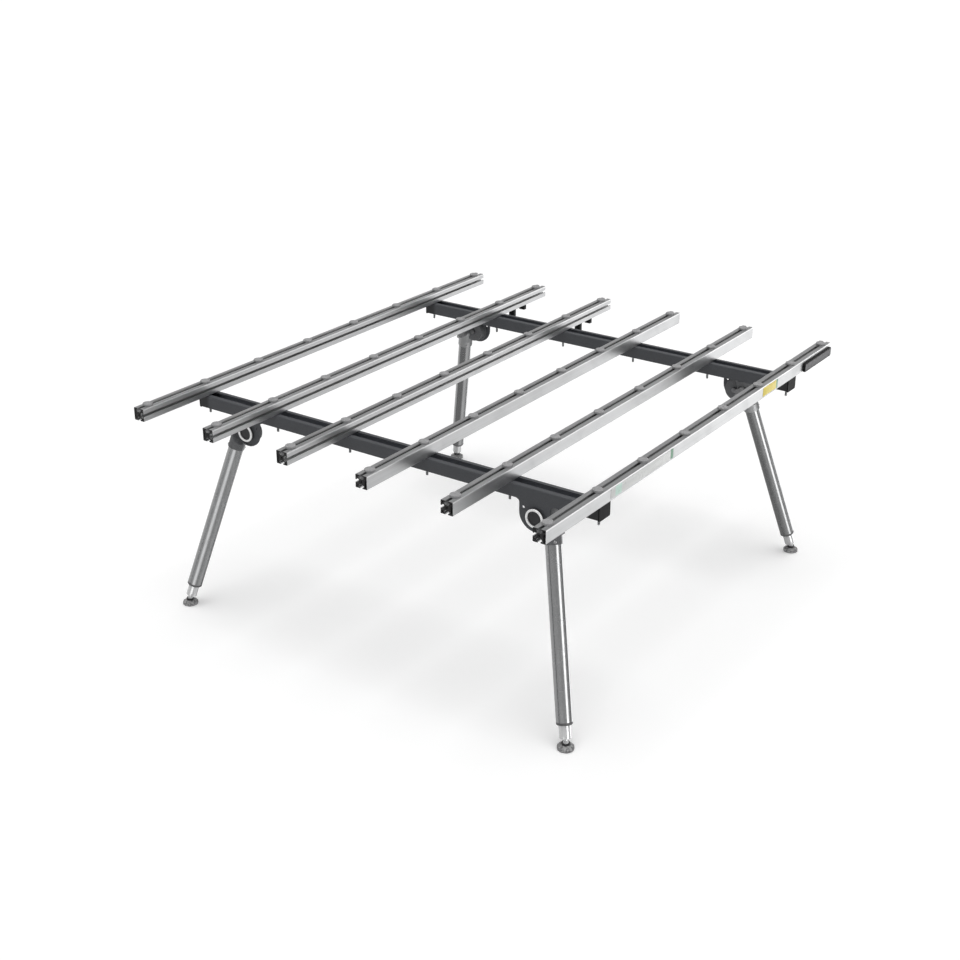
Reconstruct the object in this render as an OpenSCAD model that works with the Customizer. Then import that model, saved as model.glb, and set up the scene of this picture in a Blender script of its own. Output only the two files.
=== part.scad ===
// Folding slab work table. Six slotted aluminium rails carry a slab on rubber pads and lie across two
// lipped steel channel beams. Four splayed tube legs swing in under the beams and stand on ball feet.
// Origin on the floor under the middle of the table, X along the beams, Y along the rails, Z up.

/* [Table] */
// Height of the pad tops above the floor
table_h = 750; // [700:1:800]
// Distance between neighbouring rails, centre to centre
rail_pitch = 291; // [270:1:310]
// Distance from the middle of the table to the middle of each beam
beam_y = 604; // [560:1:640]

/* [Rails] */
// Length of a rail
rail_len = 1808; // [1740:2:1900]
// Width of a rail
rail_w = 40; // [38:0.5:44]
// Height of a rail
rail_h = 40; // [38:0.5:44]
// Radius on the long edges of a rail
rail_edge_r = 1.5; // [1:0.1:2]
// Thickness of the lips over each slot
slot_lip = 3.5; // [2.5:0.1:4]
// Width of the undercut behind the lips
slot_cavity_w = 18; // [16:0.5:19]
// Height of the straight sides of the undercut
slot_cavity_side = 4.5; // [4:0.1:5]
// Depth of a slot from the face of the rail
slot_depth = 12.2; // [11:0.1:13]
// Width of the flat floor of a slot
slot_floor_w = 9.5; // [9:0.1:12]
// Mouth of the side and bottom slots
slot_mouth = 8.6; // [8.4:0.1:10]
// Mouth of the top slot that holds the pads
pad_slot_mouth = 10; // [10:0.1:11]
// Bore in the core of a rail
rail_core_d = 6.8; // [5:0.1:8]
// Round port in each corner of a rail
rail_port_d = 5.6; // [4:0.1:6]
// Distance from a corner port to the two faces beside it
rail_port_in = 5.4; // [5:0.1:6]
// Wall between the tall chamber and the plain face
rail_skin = 2; // [1.6:0.1:2.5]
// Width of the tall chamber behind the plain face
chamber_w = 5.5; // [4:0.1:6]
// Height of the tall chamber
chamber_h = 26; // [20:0.5:27]
// Corner radius of the tall chamber
chamber_r = 1.2; // [0.8:0.1:2]

/* [Slab pads] */
// Pads on each rail
pad_count = 8; // [6:1:10]
// Distance from the end of a rail to the middle of its first pad
pad_end = 38.5; // [30:0.5:60]
// Diameter of a pad
pad_d = 31; // [26:0.5:36]
// Height of a pad above its rail
pad_h = 7; // [5:0.5:9]
// Round on the upper edge of a pad
pad_edge_r = 1.6; // [1:0.1:2.5]
// Diameter of the neck in the slot mouth
pad_neck_d = 9.6; // [8.8:0.1:9.8]
// Diameter of the head held under the lips
pad_head_d = 16.5; // [14:0.1:15.9]
// Height of the head held under the lips
pad_head_h = 3.6; // [3:0.1:4]

/* [Beams] */
// Width of a beam
beam_w = 58; // [54:0.5:64]
// Height of a beam
beam_h = 42; // [38:0.5:50]
// Sheet thickness of a beam
beam_wall = 3; // [2:0.1:4]
// Outer radius of the bends
beam_bend_r = 4; // [3.5:0.1:6]
// Width of each lip along the open top
beam_lip = 16; // [12:0.5:18]
// Distance the end caps stop short of the faces of the outer rails
beam_inset = 2.5; // [0:0.5:6]
// Thickness of an end cap's flange
cap_flange = 4; // [3:0.5:6]
// Distance an end cap hangs below the underside of its beam
cap_lip = 2; // [0:0.5:3]
// Clearance between an end cap's plug and the nearest rail bolt
cap_bolt_gap = 1.5; // [0.5:0.5:3]
// Wall of an end cap's plug
cap_wall = 2.2; // [1.6:0.1:3]
// Play of an end cap's plug in the beam
cap_play = 0.1; // [0.05:0.05:0.3]

/* [Leg brackets] */
// Distance from the steel end of a beam to a leg pivot
pivot_from_end = 198; // [180:1:220]
// Distance from the underside of a beam down to a leg pivot
pivot_drop = 43; // [41:0.5:48]
// Reach of a cheek below its pivot
cheek_drop = 46; // [45:0.5:50]
// Reach of a cheek from its pivot away from the table's middle
cheek_out = 46; // [45:0.5:50]
// Reach of a cheek from its pivot towards the table's middle
cheek_in = 56; // [54:0.5:60]
// Radius of the long curve on a cheek
cheek_in_r = 54; // [40:0.5:54]
// Radius of a cheek's other curve
cheek_out_r = 45; // [40:0.5:45]
// Fillet between a cheek and the underside of its beam
cheek_fillet = 9; // [4:0.5:12]
// Hole in a cheek for a storage pin
pin_hole_d = 8; // [6:0.5:10]
// Distance from the pivot in to the storage pin hole
pin_hole_in = 42; // [40:0.5:46]
// Distance from the pivot up to the storage pin hole
pin_hole_up = 22; // [18:0.5:24]
// Diameter of a pivot bolt
pivot_d = 10; // [8:0.5:12]
// Running play of a leg on its pivot bolt, on the radius
pivot_play = 0.05; // [0.02:0.01:0.1]
// Radius from the pivot to the clamp bolt and its curved slot
clamp_r = 37; // [36.5:0.1:38]
// Diameter of a clamp bolt
clamp_d = 8; // [6:0.5:8]
// Play of a clamp bolt in its curved slot, on the radius
clamp_play = 0.3; // [0.2:0.05:0.5]
// Extra radius of the drilled ends of a curved slot
slot_end_ease = 0.15; // [0.1:0.05:0.4]
// Angle through which the left legs fold
fold_left = 104; // [100:1:104]
// Angle through which the right legs fold, to pass under the left ones
fold_right = 95; // [92:1:97]

/* [Leg sockets] */
// Distance from the pivot out to the leg axis, at the height of the pivot
leg_out = 40; // [38:0.5:42]
// Distance from the middle of the beam out to the leg axis, at the height of the pivot
leg_side = 9; // [8:0.5:10]
// Lean of a leg out along the beam
lean_out = 14.2; // [12:0.1:15]
// Lean of a leg out along the rails
lean_side = 13; // [11:0.1:14]
// Radius of the hub round the pivot
hub_r = 36; // [30:0.5:38]
// Thickness of the hub
hub_t = 28; // [24:0.5:32]
// Wall of the collar round a leg tube
collar_wall = 2.5; // [2:0.1:3]
// Distance along the leg from pivot height to the mouth of the collar
collar_mouth = 70; // [66:0.5:80]
// Depth of the collar over the end of the tube
collar_cover = 14; // [10:0.5:15]
// Length of the spigot inside the tube
spigot_len = 62; // [50:1:90]
// Bore up the middle of the spigot
spigot_bore_d = 28; // [20:0.5:30]
// Gap round a cheek in the recess that clears it
recess_gap = 0.5; // [0.4:0.1:1.5]
// Slide gap between a socket and its cheek, and under the beam
face_gap = 0.3; // [0.25:0.05:0.5]
// Distance from the middle of the beam to the flat seat of the clamp knob, towards the middle of the table
knob_seat_in = 16; // [14:0.5:18]
// Diameter of a collar rivet
rivet_d = 5; // [4:0.5:6]
// Diameter of a collar rivet's head
rivet_head_d = 9; // [7:0.5:10]
// Height of a collar rivet's head
rivet_head_h = 2.2; // [1.5:0.1:3]

/* [Leg tubes] */
// Diameter of a leg tube
tube_d = 48; // [46:0.5:50]
// Wall of a leg tube
tube_wall = 3.5; // [3:0.1:4]
// Number of grooves along a leg tube
groove_count = 4; // [2:1:8]
// Width of a groove
groove_w = 4; // [2:0.1:5]
// Depth of a groove
groove_depth = 1.8; // [0.8:0.1:2]
// Fit of the plugs and spigots in a tube, on the radius
tube_fit = 0.1; // [0.05:0.01:0.2]
// Height of the plug's flange below the tube
plug_flange = 8; // [5:0.5:12]
// Depth of the plug inside the tube
plug_depth = 42; // [30:1:60]

/* [Feet] */
// Diameter of the telescoping sleeve
sleeve_d = 34; // [30:0.5:35]
// Running play of the sleeve in the plug, on the radius
sleeve_play = 0.05; // [0.02:0.01:0.1]
// Sleeve showing below the plug as it stands
sleeve_out = 27; // [27:0.5:40]
// Sleeve hidden above the plug's underside
sleeve_in = 82; // [75:1:120]
// Wall of the sleeve
sleeve_wall = 3; // [2:0.1:4]
// Distance from the middle of the ball to the sleeve
neck_len = 27; // [24:0.5:34]
// Diameter of the neck
neck_d = 12; // [9:0.5:12]
// Diameter of the ball
ball_d = 18; // [18:0.5:20]
// Height of the ball's middle above the floor
ball_h = 19; // [18:0.5:22]
// Play of the ball in its cup, on the radius
ball_play = 0.1; // [0.05:0.01:0.2]
// Height of the cup's rim above the middle of the ball
cup_rim = 3; // [2.5:0.1:3]
// Diameter of the cup
cup_d = 24; // [24:0.5:28]
// Diameter of the rubber foot
foot_d = 50; // [46:0.5:60]
// Height of the rubber foot at its rim
foot_rim_h = 11; // [8:0.5:13]
// Height of the rubber foot against the cup
foot_top_h = 16; // [14:0.5:18]
// Rubber under the cup
foot_sole = 5; // [4:0.5:6]
// Number of scallops round a foot
scallop_count = 10; // [6:1:14]
// Radius of a scallop
scallop_r = 3.2; // [2:0.1:4]

/* [Knobs and caps] */
// Radius to the tips of a clamp knob
knob_r = 24; // [20:0.5:24]
// Thickness of a clamp knob
knob_t = 19; // [14:0.5:24]
// Number of lobes on a clamp knob
lobe_count = 6; // [5:1:8]
// Radius of a lobe
lobe_r = 6; // [4:0.5:7]
// Diameter of a pivot cap
pivot_cap_d = 56; // [50:0.5:56]
// Height of a pivot cap
pivot_cap_h = 9; // [8:0.5:12]
// Outer diameter of the steel ring in a pivot cap
ring_d = 54; // [46:0.5:54]
// Width of the ring's face
ring_w = 5.5; // [3:0.1:7]
// Depth of the ring's groove
ring_seat = 1; // [0.6:0.1:1.5]
// Height of the ring above the cap
ring_proud = 0.5; // [0.3:0.1:1]
// Diameter of the shallow dish inside the ring
dish_d = 36; // [28:0.5:38]
// Depth of the dish
dish_depth = 1.2; // [0.8:0.1:1.8]

/* [Fasteners] */
// Diameter of a rail bolt
bolt_d = 8; // [6:0.5:8]
// Length of a rail bolt's shank below the rail
bolt_len = 67; // [62:1:75]
// Length of the hammer head across the slot
bolt_head_len = 16; // [12:0.5:16]
// Height of the hammer head
bolt_head_h = 4; // [3:0.1:4.2]
// Width of a nut across its flats
nut_flats = 13; // [10:0.5:13]
// Height of a nut
nut_h = 6.5; // [5:0.5:8]
// Diameter of a washer
washer_d = 16; // [14:0.5:20]
// Thickness of a washer
washer_t = 1.6; // [1:0.1:2]
// Play of a bolt in its hole, on the radius
hole_play = 0.3; // [0.2:0.05:0.5]
// Diameter of a clamp bolt's round head
clamp_head_d = 16; // [14:0.5:16.5]
// Height of a clamp bolt's round head
clamp_head_h = 4.4; // [3:0.1:5]
// Diameter of a pivot bolt's head
pivot_head_d = 17; // [15:0.5:19]
// Height of a pivot bolt's head
pivot_head_h = 5; // [4:0.5:5.5]
// Width across the flats of a pivot nut
pivot_nut_flats = 16; // [14:0.5:18]
// Height of a pivot nut
pivot_nut_h = 8; // [6:0.5:9]

/* [Rail fittings] */
// Length of the side grip
grip_len = 225; // [180:1:260]
// Height of the side grip
grip_h = 32; // [28:0.5:34]
// Thickness of the side grip
grip_t = 6; // [4:0.5:9]
// Width of the side grip's border
grip_border = 5; // [4:0.5:8]
// Depth of the side grip's pocket
grip_pocket = 3; // [2:0.5:3]
// Distance of the insert below the border
grip_insert_low = 0.8; // [0.4:0.1:1.2]
// Distance from the middle of the table to the middle of the hooks
hook_y = 742; // [700:1:780]
// Length of a hook's base along its rail
hook_len = 84; // [60:1:100]
// Width of a hook
hook_w = 22; // [16:0.5:28]
// Thickness of a hook's base
hook_base = 5; // [4:0.5:8]
// Drop of a hook's long finger below the rail
hook_drop = 36; // [24:0.5:44]
// Drop of a hook's short finger below the rail
hook_short = 22; // [14:0.5:24]
// Thickness of a hook's fingers
hook_finger = 14; // [8:0.5:18]
// Width of a hook's tongue inside the slot
hook_head_w = 16; // [12:0.5:17]
// Height of a hook's tongue inside the slot
hook_head_h = 3.8; // [3:0.1:4.2]
// Play of a hook's stem between the lips of the slot, each side
hook_play = 0.2; // [0.1:0.05:0.4]

/* [Hidden] */

$fn = 64;
rail_count = 6;
over = 1;                                   // how far a cut runs past the face it opens

pad_pitch = (rail_len - 2 * pad_end) / (pad_count - 1);
rail_top = table_h - pad_h;
rail_bottom = rail_top - rail_h;
beam_bottom = rail_bottom - beam_h;
deck_w = (rail_count - 1) * rail_pitch + rail_w;
beam_half = deck_w / 2 - beam_inset - cap_flange;
beam_outer = beam_y + beam_w / 2;
cheek_inner = beam_outer - beam_wall;
pivot_x = beam_half - pivot_from_end;
cap_plug = beam_half - (rail_count - 1) / 2 * rail_pitch - bolt_d / 2 - cap_bolt_gap;
recess_r = cheek_in + recess_gap;
recess_top = sqrt(recess_r * recess_r - cheek_out * cheek_out) - 2;
pivot_z = beam_bottom - pivot_drop;
socket_face = cheek_inner - face_gap;
hub_inner = socket_face - hub_t;
knob_seat = beam_y - knob_seat_in;
leg_fall = cos(lean_side) * cos(lean_out);  // height lost for each millimetre along a leg
tube_r = tube_d / 2;
tube_bore_r = tube_r - tube_wall;
collar_r = tube_r + collar_wall;
tube_top = collar_mouth - collar_cover;
ball_at = (pivot_z - ball_h) / leg_fall;
sleeve_end = ball_at - neck_len;
plug_end = sleeve_end - sleeve_out;
tube_end = plug_end - plug_flange;
rivet_at = collar_mouth - collar_cover / 2;
cup_r = cup_d / 2;
socket_r = ball_d / 2 + ball_play;

function rail_x(i) = (i - (rail_count - 1) / 2) * rail_pitch;

// Places its children at one corner, drawn for the corner at plus X, plus Y
module at_corner(sx, sy) {
    mirror([sx < 0 ? 1 : 0, 0, 0]) mirror([0, sy < 0 ? 1 : 0, 0]) children();
}

// Axis of a leg: minus Z runs down the leg, zero lies at the height of the pivot
module along_leg() {
    translate([pivot_x + leg_out, beam_y + leg_side, pivot_z]) rotate([lean_side, -lean_out, 0]) children();
}

// Axis of a pivot: plus Z points in towards the middle of the table, X stays outwards
module at_pivot(y) {
    translate([pivot_x, y, pivot_z]) rotate([90, 0, 0]) children();
}

module rounded_rect(w, h, r) {
    square([w - 2 * r, h], center = true);
    square([w, h - 2 * r], center = true);
    for (sx = [-1, 1], sy = [-1, 1]) translate([sx * (w / 2 - r), sy * (h / 2 - r)]) circle(r);
}

// One undercut slot, open at the top face, drawn down from that face
module slot_section(mouth) {
    translate([-mouth / 2, -slot_lip - 0.01]) square([mouth, slot_lip + over]);
    polygon([[-slot_cavity_w / 2, -slot_lip], [slot_cavity_w / 2, -slot_lip],
        [slot_cavity_w / 2, -slot_lip - slot_cavity_side], [slot_floor_w / 2, -slot_depth],
        [-slot_floor_w / 2, -slot_depth], [-slot_cavity_w / 2, -slot_lip - slot_cavity_side]]);
}

// Section of a rail, with its side slot at plus X and its plain face at minus X
module rail_section() {
    port_x = rail_w / 2 - rail_port_in;
    port_z = rail_h / 2 - rail_port_in;
    difference() {
        rounded_rect(rail_w, rail_h, rail_edge_r);
        translate([0, rail_h / 2]) slot_section(pad_slot_mouth);
        translate([0, -rail_h / 2]) rotate(180) slot_section(slot_mouth);
        translate([rail_w / 2, 0]) rotate(-90) slot_section(slot_mouth);
        circle(d = rail_core_d);
        for (place = [[port_x, port_z], [port_x, -port_z], [-port_x, port_z]]) translate(place) circle(d = rail_port_d);
        translate([-rail_w / 2 + rail_skin + chamber_w / 2, -rail_h / 2 + rail_skin + chamber_h / 2])
            rounded_rect(chamber_w, chamber_h, chamber_r);
    }
}

// The slots of the left three rails face right, those of the right three face left
module rail(i) {
    color([0.77, 0.78, 0.79])
    translate([rail_x(i), rail_len / 2, rail_bottom + rail_h / 2]) rotate([90, 0, 0])
        linear_extrude(rail_len) mirror([i < rail_count / 2 ? 0 : 1, 0]) rail_section();
}

// Flat-topped rubber button with a neck in the slot and a head under its lips
module slab_pad() {
    head_top = -slot_lip - 0.05;
    rotate_extrude() {
        difference() {
            union() {
                square([pad_d / 2 - pad_edge_r, pad_h]);
                square([pad_d / 2, pad_h - pad_edge_r]);
                translate([pad_d / 2 - pad_edge_r, pad_h - pad_edge_r]) circle(pad_edge_r);
            }
            translate([-over - pad_edge_r, 0]) square([over + pad_edge_r, pad_h + over]);
        }
        translate([0, head_top - 0.01]) square([pad_neck_d / 2, 0.02 - head_top]);
        translate([0, head_top - pad_head_h]) square([pad_head_d / 2, pad_head_h]);
    }
}

module rail_pads() {
    color([0.47, 0.47, 0.5])
    for (i = [0 : rail_count - 1], k = [0 : pad_count - 1])
        translate([rail_x(i), -rail_len / 2 + pad_end + k * pad_pitch, rail_top]) slab_pad();
}

// Section of a beam: a channel open at the top between two lips
module beam_section() {
    inner_w = beam_w - 2 * beam_wall;
    inner_h = beam_h - 2 * beam_wall;
    gap = beam_w - 2 * beam_lip;
    difference() {
        rounded_rect(beam_w, beam_h, beam_bend_r);
        rounded_rect(inner_w, inner_h, beam_bend_r - beam_wall);
        translate([-gap / 2, 0]) square([gap, beam_h / 2 + over]);
    }
}

// Cuts a square corner at the origin back to a quarter circle
module corner_cut(r) {
    difference() {
        translate([-over, -over]) square(r + over);
        translate([r, r]) circle(r);
    }
}

// Outline of a cheek about its pivot, plus X towards the end of the beam
module cheek_outline() {
    top = pivot_drop + beam_bend_r + over;
    difference() {
        translate([-cheek_in, -cheek_drop]) square([cheek_in + cheek_out, cheek_drop + top]);
        translate([-cheek_in, -cheek_drop]) corner_cut(cheek_in_r);
        translate([cheek_out, -cheek_drop]) mirror([1, 0]) corner_cut(cheek_out_r);
    }
    for (side = [-1, 1]) {
        edge = side < 0 ? -cheek_in : cheek_out;
        translate([edge + side * cheek_fillet, pivot_drop - cheek_fillet]) difference() {
            translate([side < 0 ? 0 : -cheek_fillet - over, 0]) square([cheek_fillet + over, cheek_fillet + beam_bend_r + over]);
            circle(cheek_fillet);
        }
    }
}

// Curved slot for the clamp bolt, from level with the pivot round to the folded place
module clamp_slot(fold) {
    half = clamp_d / 2 + clamp_play;
    reach = 2 * (clamp_r + half);
    spare = 0.5;
    difference() {
        circle(clamp_r + half);
        circle(clamp_r - half);
        polygon([[0, 0], reach * [cos(spare), sin(spare)], reach * [1, 1], reach * [-1, 1],
            reach * [-1, -1.2], reach * [cos(fold + spare), -sin(fold + spare)]]);
    }
    for (turn = [spare, -fold - spare]) rotate(turn) translate([clamp_r, 0]) circle(half + slot_end_ease);
}

// The cheek of one corner, in line with the outer wall of its beam
module cheek(sx, fold) {
    mirror([sx < 0 ? 1 : 0, 0, 0]) at_pivot(beam_outer) linear_extrude(beam_wall) difference() {
        cheek_outline();
        circle(pivot_d / 2 + hole_play);
        clamp_slot(fold);
        translate([-pin_hole_in, pin_hole_up]) circle(d = pin_hole_d);
    }
}

// A beam with its cheeks, drawn for the rear
module beam() {
    color([0.22, 0.23, 0.24])
    difference() {
        union() {
            translate([-beam_half, beam_y, beam_bottom + beam_h / 2]) rotate([90, 0, 90])
                linear_extrude(2 * beam_half) beam_section();
            cheek(-1, fold_left);
            cheek(1, fold_right);
        }
        for (i = [0 : rail_count - 1]) translate([rail_x(i), beam_y, beam_bottom - over])
            cylinder(d = bolt_d + 2 * hole_play, h = beam_wall + 2 * over);
    }
}

// Moulded cap in the end of a beam: a flange of the beam's outline and a hollow plug
module beam_end_caps() {
    plug_w = beam_w - 2 * beam_wall - 2 * cap_play;
    plug_h = beam_h - 2 * beam_wall - 2 * cap_play;
    corner = beam_bend_r - beam_wall;
    color([0.08, 0.08, 0.085])
    for (sx = [-1, 1], sy = [-1, 1]) at_corner(sx, sy)
        translate([beam_half - cap_plug, beam_y, beam_bottom + beam_h / 2]) rotate([90, 0, 90]) {
            linear_extrude(cap_plug + 0.01) difference() {
                rounded_rect(plug_w, plug_h, corner);
                rounded_rect(plug_w - 2 * cap_wall, plug_h - 2 * cap_wall, corner);
            }
            translate([0, -cap_lip / 2, cap_plug]) linear_extrude(cap_flange)
                rounded_rect(beam_w, beam_h + cap_lip, beam_bend_r);
        }
}

module at_rail_bolts() {
    for (i = [0 : rail_count - 1], sy = [-1, 1]) translate([rail_x(i), sy * beam_y, 0]) children();
}

// Hammer-head bolts: the head lies in the rail's bottom slot, the shank hangs through the beam
module rail_bolts() {
    head_z = rail_bottom + slot_lip + 0.05;
    head_w = bolt_d - 0.2;
    color([0.6, 0.6, 0.61])
    at_rail_bolts() {
        translate([0, 0, rail_bottom - bolt_len]) cylinder(d = bolt_d, h = bolt_len + slot_lip + bolt_head_h / 2);
        translate([-bolt_head_len / 2, -head_w / 2, head_z]) cube([bolt_head_len, head_w, bolt_head_h]);
    }
}

module rail_washers() {
    color([0.66, 0.66, 0.67])
    at_rail_bolts() translate([0, 0, beam_bottom - washer_t]) difference() {
        cylinder(d = washer_d, h = washer_t);
        translate([0, 0, -over]) cylinder(d = bolt_d + 0.4, h = washer_t + 2 * over);
    }
}

// Hexagon nut standing on z = 0
module hex_nut(flats, height, bore) {
    difference() {
        intersection() {
            cylinder(d = flats / cos(30), h = height, $fn = 6);
            cylinder(r1 = flats / 2 + height * 1.2, r2 = flats / 2, h = height);
        }
        translate([0, 0, -over]) cylinder(d = bore, h = height + 2 * over);
    }
}

module rail_nuts() {
    color([0.62, 0.62, 0.63])
    at_rail_bolts() translate([0, 0, beam_bottom - washer_t]) mirror([0, 0, 1]) hex_nut(nut_flats, nut_h, bolt_d + 0.1);
}

// Bolt the leg turns on: head under the cap, shank through the cheek and hub
module pivot_bolts() {
    shank = beam_wall + face_gap + hub_t + face_gap + pivot_nut_h + 2;
    color([0.55, 0.55, 0.56])
    for (sx = [-1, 1], sy = [-1, 1]) at_corner(sx, sy) at_pivot(beam_outer) {
        cylinder(d = pivot_d, h = shank);
        translate([0, 0, -pivot_head_h]) cylinder(d = pivot_head_d, h = pivot_head_h + 0.01);
    }
}

module pivot_nuts() {
    color([0.6, 0.6, 0.61])
    for (sx = [-1, 1], sy = [-1, 1]) at_corner(sx, sy) at_pivot(hub_inner - face_gap)
        hex_nut(pivot_nut_flats, pivot_nut_h, pivot_d + 0.1);
}

// Round cover over the head of a pivot bolt, with a groove for its ring and a shallow dish
module pivot_caps() {
    color([0.13, 0.135, 0.14])
    for (sx = [-1, 1], sy = [-1, 1]) at_corner(sx, sy) at_pivot(beam_outer) rotate_extrude() difference() {
        translate([0, -pivot_cap_h]) square([pivot_cap_d / 2, pivot_cap_h]);
        translate([-over, -pivot_head_h - 0.3]) square([pivot_head_d / 2 + 0.3 + over, pivot_head_h + 0.3 + over]);
        translate([ring_d / 2 - ring_w, -pivot_cap_h - over]) square([ring_w, ring_seat + over]);
        translate([-over, -pivot_cap_h - over]) square([dish_d / 2 + over, dish_depth + over]);
    }
}

module pivot_rings() {
    color([0.86, 0.87, 0.88])
    for (sx = [-1, 1], sy = [-1, 1]) at_corner(sx, sy) at_pivot(beam_outer) rotate_extrude()
        translate([ring_d / 2 - ring_w + 0.02, -pivot_cap_h - ring_proud]) square([ring_w - 0.04, ring_seat + ring_proud]);
}

// Cast socket: a hub on the pivot, an inclined collar whose top bears under the beam, and a spigot
module leg_socket(sx, sy) {
    web_gap = beam_bottom - face_gap;
    axis_x = leg_out * cos(lean_out);
    core_r = tube_bore_r - tube_fit;
    spigot_end = tube_top + spigot_len;
    color([0.2, 0.205, 0.215])
    at_corner(sx, sy) difference() {
        union() {
            at_pivot(socket_face) cylinder(r = hub_r, h = hub_t);
            at_pivot(socket_face) linear_extrude(hub_t) rotate(lean_out) {
                translate([0, -hub_r]) square([axis_x, 2 * hub_r]);
                translate([axis_x - collar_r, -tube_top]) square([2 * collar_r, tube_top + pivot_drop]);
            }
            along_leg() translate([0, 0, -collar_mouth]) cylinder(r = collar_r, h = collar_mouth + 2 * pivot_drop);
            along_leg() translate([0, 0, -spigot_end]) cylinder(r = core_r, h = spigot_end);
        }
        at_pivot(socket_face) translate([0, 0, -2 * hub_r]) cylinder(r = recess_r, h = 2 * hub_r);
        translate([pivot_x - 2 * hub_r, socket_face, pivot_z + recess_top]) cube(6 * hub_r);
        translate([pivot_x - 2 * hub_r, knob_seat - 2 * hub_r, web_gap]) cube(6 * hub_r);
        at_pivot(beam_outer) translate([0, 0, -over]) cylinder(r = pivot_d / 2 + pivot_play, h = 2 * hub_t);
        at_pivot(beam_outer) translate([clamp_r, 0, -over]) cylinder(r = clamp_d / 2 + 0.1, h = 3 * hub_t);
        at_pivot(knob_seat) translate([clamp_r, 0, 0]) cylinder(r = knob_r + 1.5, h = 2 * hub_t);
        along_leg() {
            difference() {
                translate([0, 0, -collar_mouth - over]) cylinder(r = tube_r + tube_fit, h = collar_cover + over);
                translate([0, 0, -collar_mouth - 2 * over]) cylinder(r = core_r, h = collar_cover + 3 * over);
            }
            translate([0, 0, -spigot_end - over]) cylinder(d = spigot_bore_d, h = spigot_len + over);
            rivet_holes();
        }
    }
}

// Two cross holes for the rivets, drawn in the frame of the leg
module rivet_holes() {
    for (turn = [45, 225]) translate([0, 0, -rivet_at]) rotate([0, 90, turn])
        cylinder(d = rivet_d + 0.1, h = collar_r + over);
}

// Round tube with grooves along it
module leg_tube(sx, sy) {
    color([0.7, 0.71, 0.72])
    at_corner(sx, sy) along_leg() difference() {
        translate([0, 0, -tube_end]) linear_extrude(tube_end - tube_top) difference() {
            circle(tube_r);
            circle(tube_bore_r);
            for (k = [0 : groove_count - 1]) rotate(k * 360 / groove_count) translate([tube_r - groove_depth, -groove_w / 2])
                square([groove_depth + over, groove_w]);
        }
        rivet_holes();
    }
}

// Domed rivets through collar, tube and spigot
module leg_rivets(sx, sy) {
    color([0.85, 0.85, 0.86])
    at_corner(sx, sy) along_leg() for (turn = [45, 225]) translate([0, 0, -rivet_at]) rotate([0, 90, turn]) {
        translate([0, 0, spigot_bore_d / 2]) cylinder(d = rivet_d, h = collar_r - spigot_bore_d / 2 + over);
        translate([0, 0, collar_r]) cylinder(d1 = rivet_head_d, d2 = rivet_head_d * 0.6, h = rivet_head_h);
    }
}

// Guide bush in the lower end of the tube
module leg_plug(sx, sy) {
    edge = 2;
    color([0.34, 0.35, 0.36])
    at_corner(sx, sy) along_leg() translate([0, 0, -plug_end]) rotate_extrude() {
        bore = sleeve_d / 2 + sleeve_play;
        polygon([[bore, 0], [tube_r - edge, 0], [tube_r, edge], [tube_r, plug_flange],
            [tube_bore_r - tube_fit, plug_flange], [tube_bore_r - tube_fit, plug_flange + plug_depth], [bore, plug_flange + plug_depth]]);
    }
}

// Round-headed bolt that runs in the cheek's curved slot and through the socket
module clamp_bolt(sx, sy) {
    length = beam_outer + face_gap - knob_seat + knob_t - 4;
    color([0.62, 0.62, 0.64])
    at_corner(sx, sy) at_pivot(beam_outer + face_gap) translate([clamp_r, 0, 0]) {
        cylinder(d = clamp_d, h = length);
        translate([0, 0, -clamp_head_h]) cylinder(d1 = clamp_head_d * 0.55, d2 = clamp_head_d, h = clamp_head_h + 0.01);
    }
}

// Lobed knob on the inner end of the clamp bolt
module clamp_knob(sx, sy) {
    hub_low = 5;
    color([0.5, 0.5, 0.52])
    at_corner(sx, sy) at_pivot(knob_seat - face_gap) translate([clamp_r, 0, 0]) difference() {
        union() {
            linear_extrude(knob_t) {
                circle(knob_r - lobe_r);
                for (k = [0 : lobe_count - 1]) rotate(k * 360 / lobe_count) translate([knob_r - lobe_r, 0]) circle(lobe_r);
            }
            cylinder(r1 = knob_r - lobe_r, r2 = knob_r - lobe_r - 2, h = knob_t + 2);
        }
        translate([0, 0, -over]) cylinder(d = clamp_d + 0.1, h = knob_t - 3 + over);
        translate([0, 0, knob_t + 2 - hub_low]) difference() {
            cylinder(r = knob_r - lobe_r - 5, h = hub_low + over);
            cylinder(r = knob_r - lobe_r - 10, h = hub_low + over);
        }
    }
}

// Chromed sleeve that slides in the plug, closed below by a neck and a ball
module foot_sleeve(sx, sy) {
    edge = 2;
    r = sleeve_d / 2;
    floor_t = 5;
    color([0.88, 0.89, 0.9])
    at_corner(sx, sy) along_leg() translate([0, 0, -ball_at]) {
        rotate_extrude() polygon([[0, 0], [neck_d / 2, 0], [neck_d / 2, neck_len], [r - edge, neck_len],
            [r, neck_len + edge], [r, neck_len + sleeve_out + sleeve_in], [r - sleeve_wall, neck_len + sleeve_out + sleeve_in],
            [r - sleeve_wall, neck_len + floor_t], [0, neck_len + floor_t]]);
        sphere(d = ball_d);
    }
}

module at_ball(sx, sy) {
    reach = ball_at;
    at_corner(sx, sy) translate([pivot_x + leg_out + reach * cos(lean_side) * sin(lean_out),
        beam_y + leg_side + reach * sin(lean_side), 0]) children();
}

// Cup that snaps over the ball
module foot_cup(sx, sy) {
    color([0.12, 0.12, 0.125])
    at_ball(sx, sy) difference() {
        union() {
            translate([0, 0, foot_sole]) cylinder(r = cup_r, h = ball_h + cup_rim - foot_sole);
            translate([0, 0, foot_sole]) cylinder(r = cup_r + 4, h = 2.5);
        }
        translate([0, 0, ball_h]) sphere(r = socket_r);
    }
}

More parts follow.
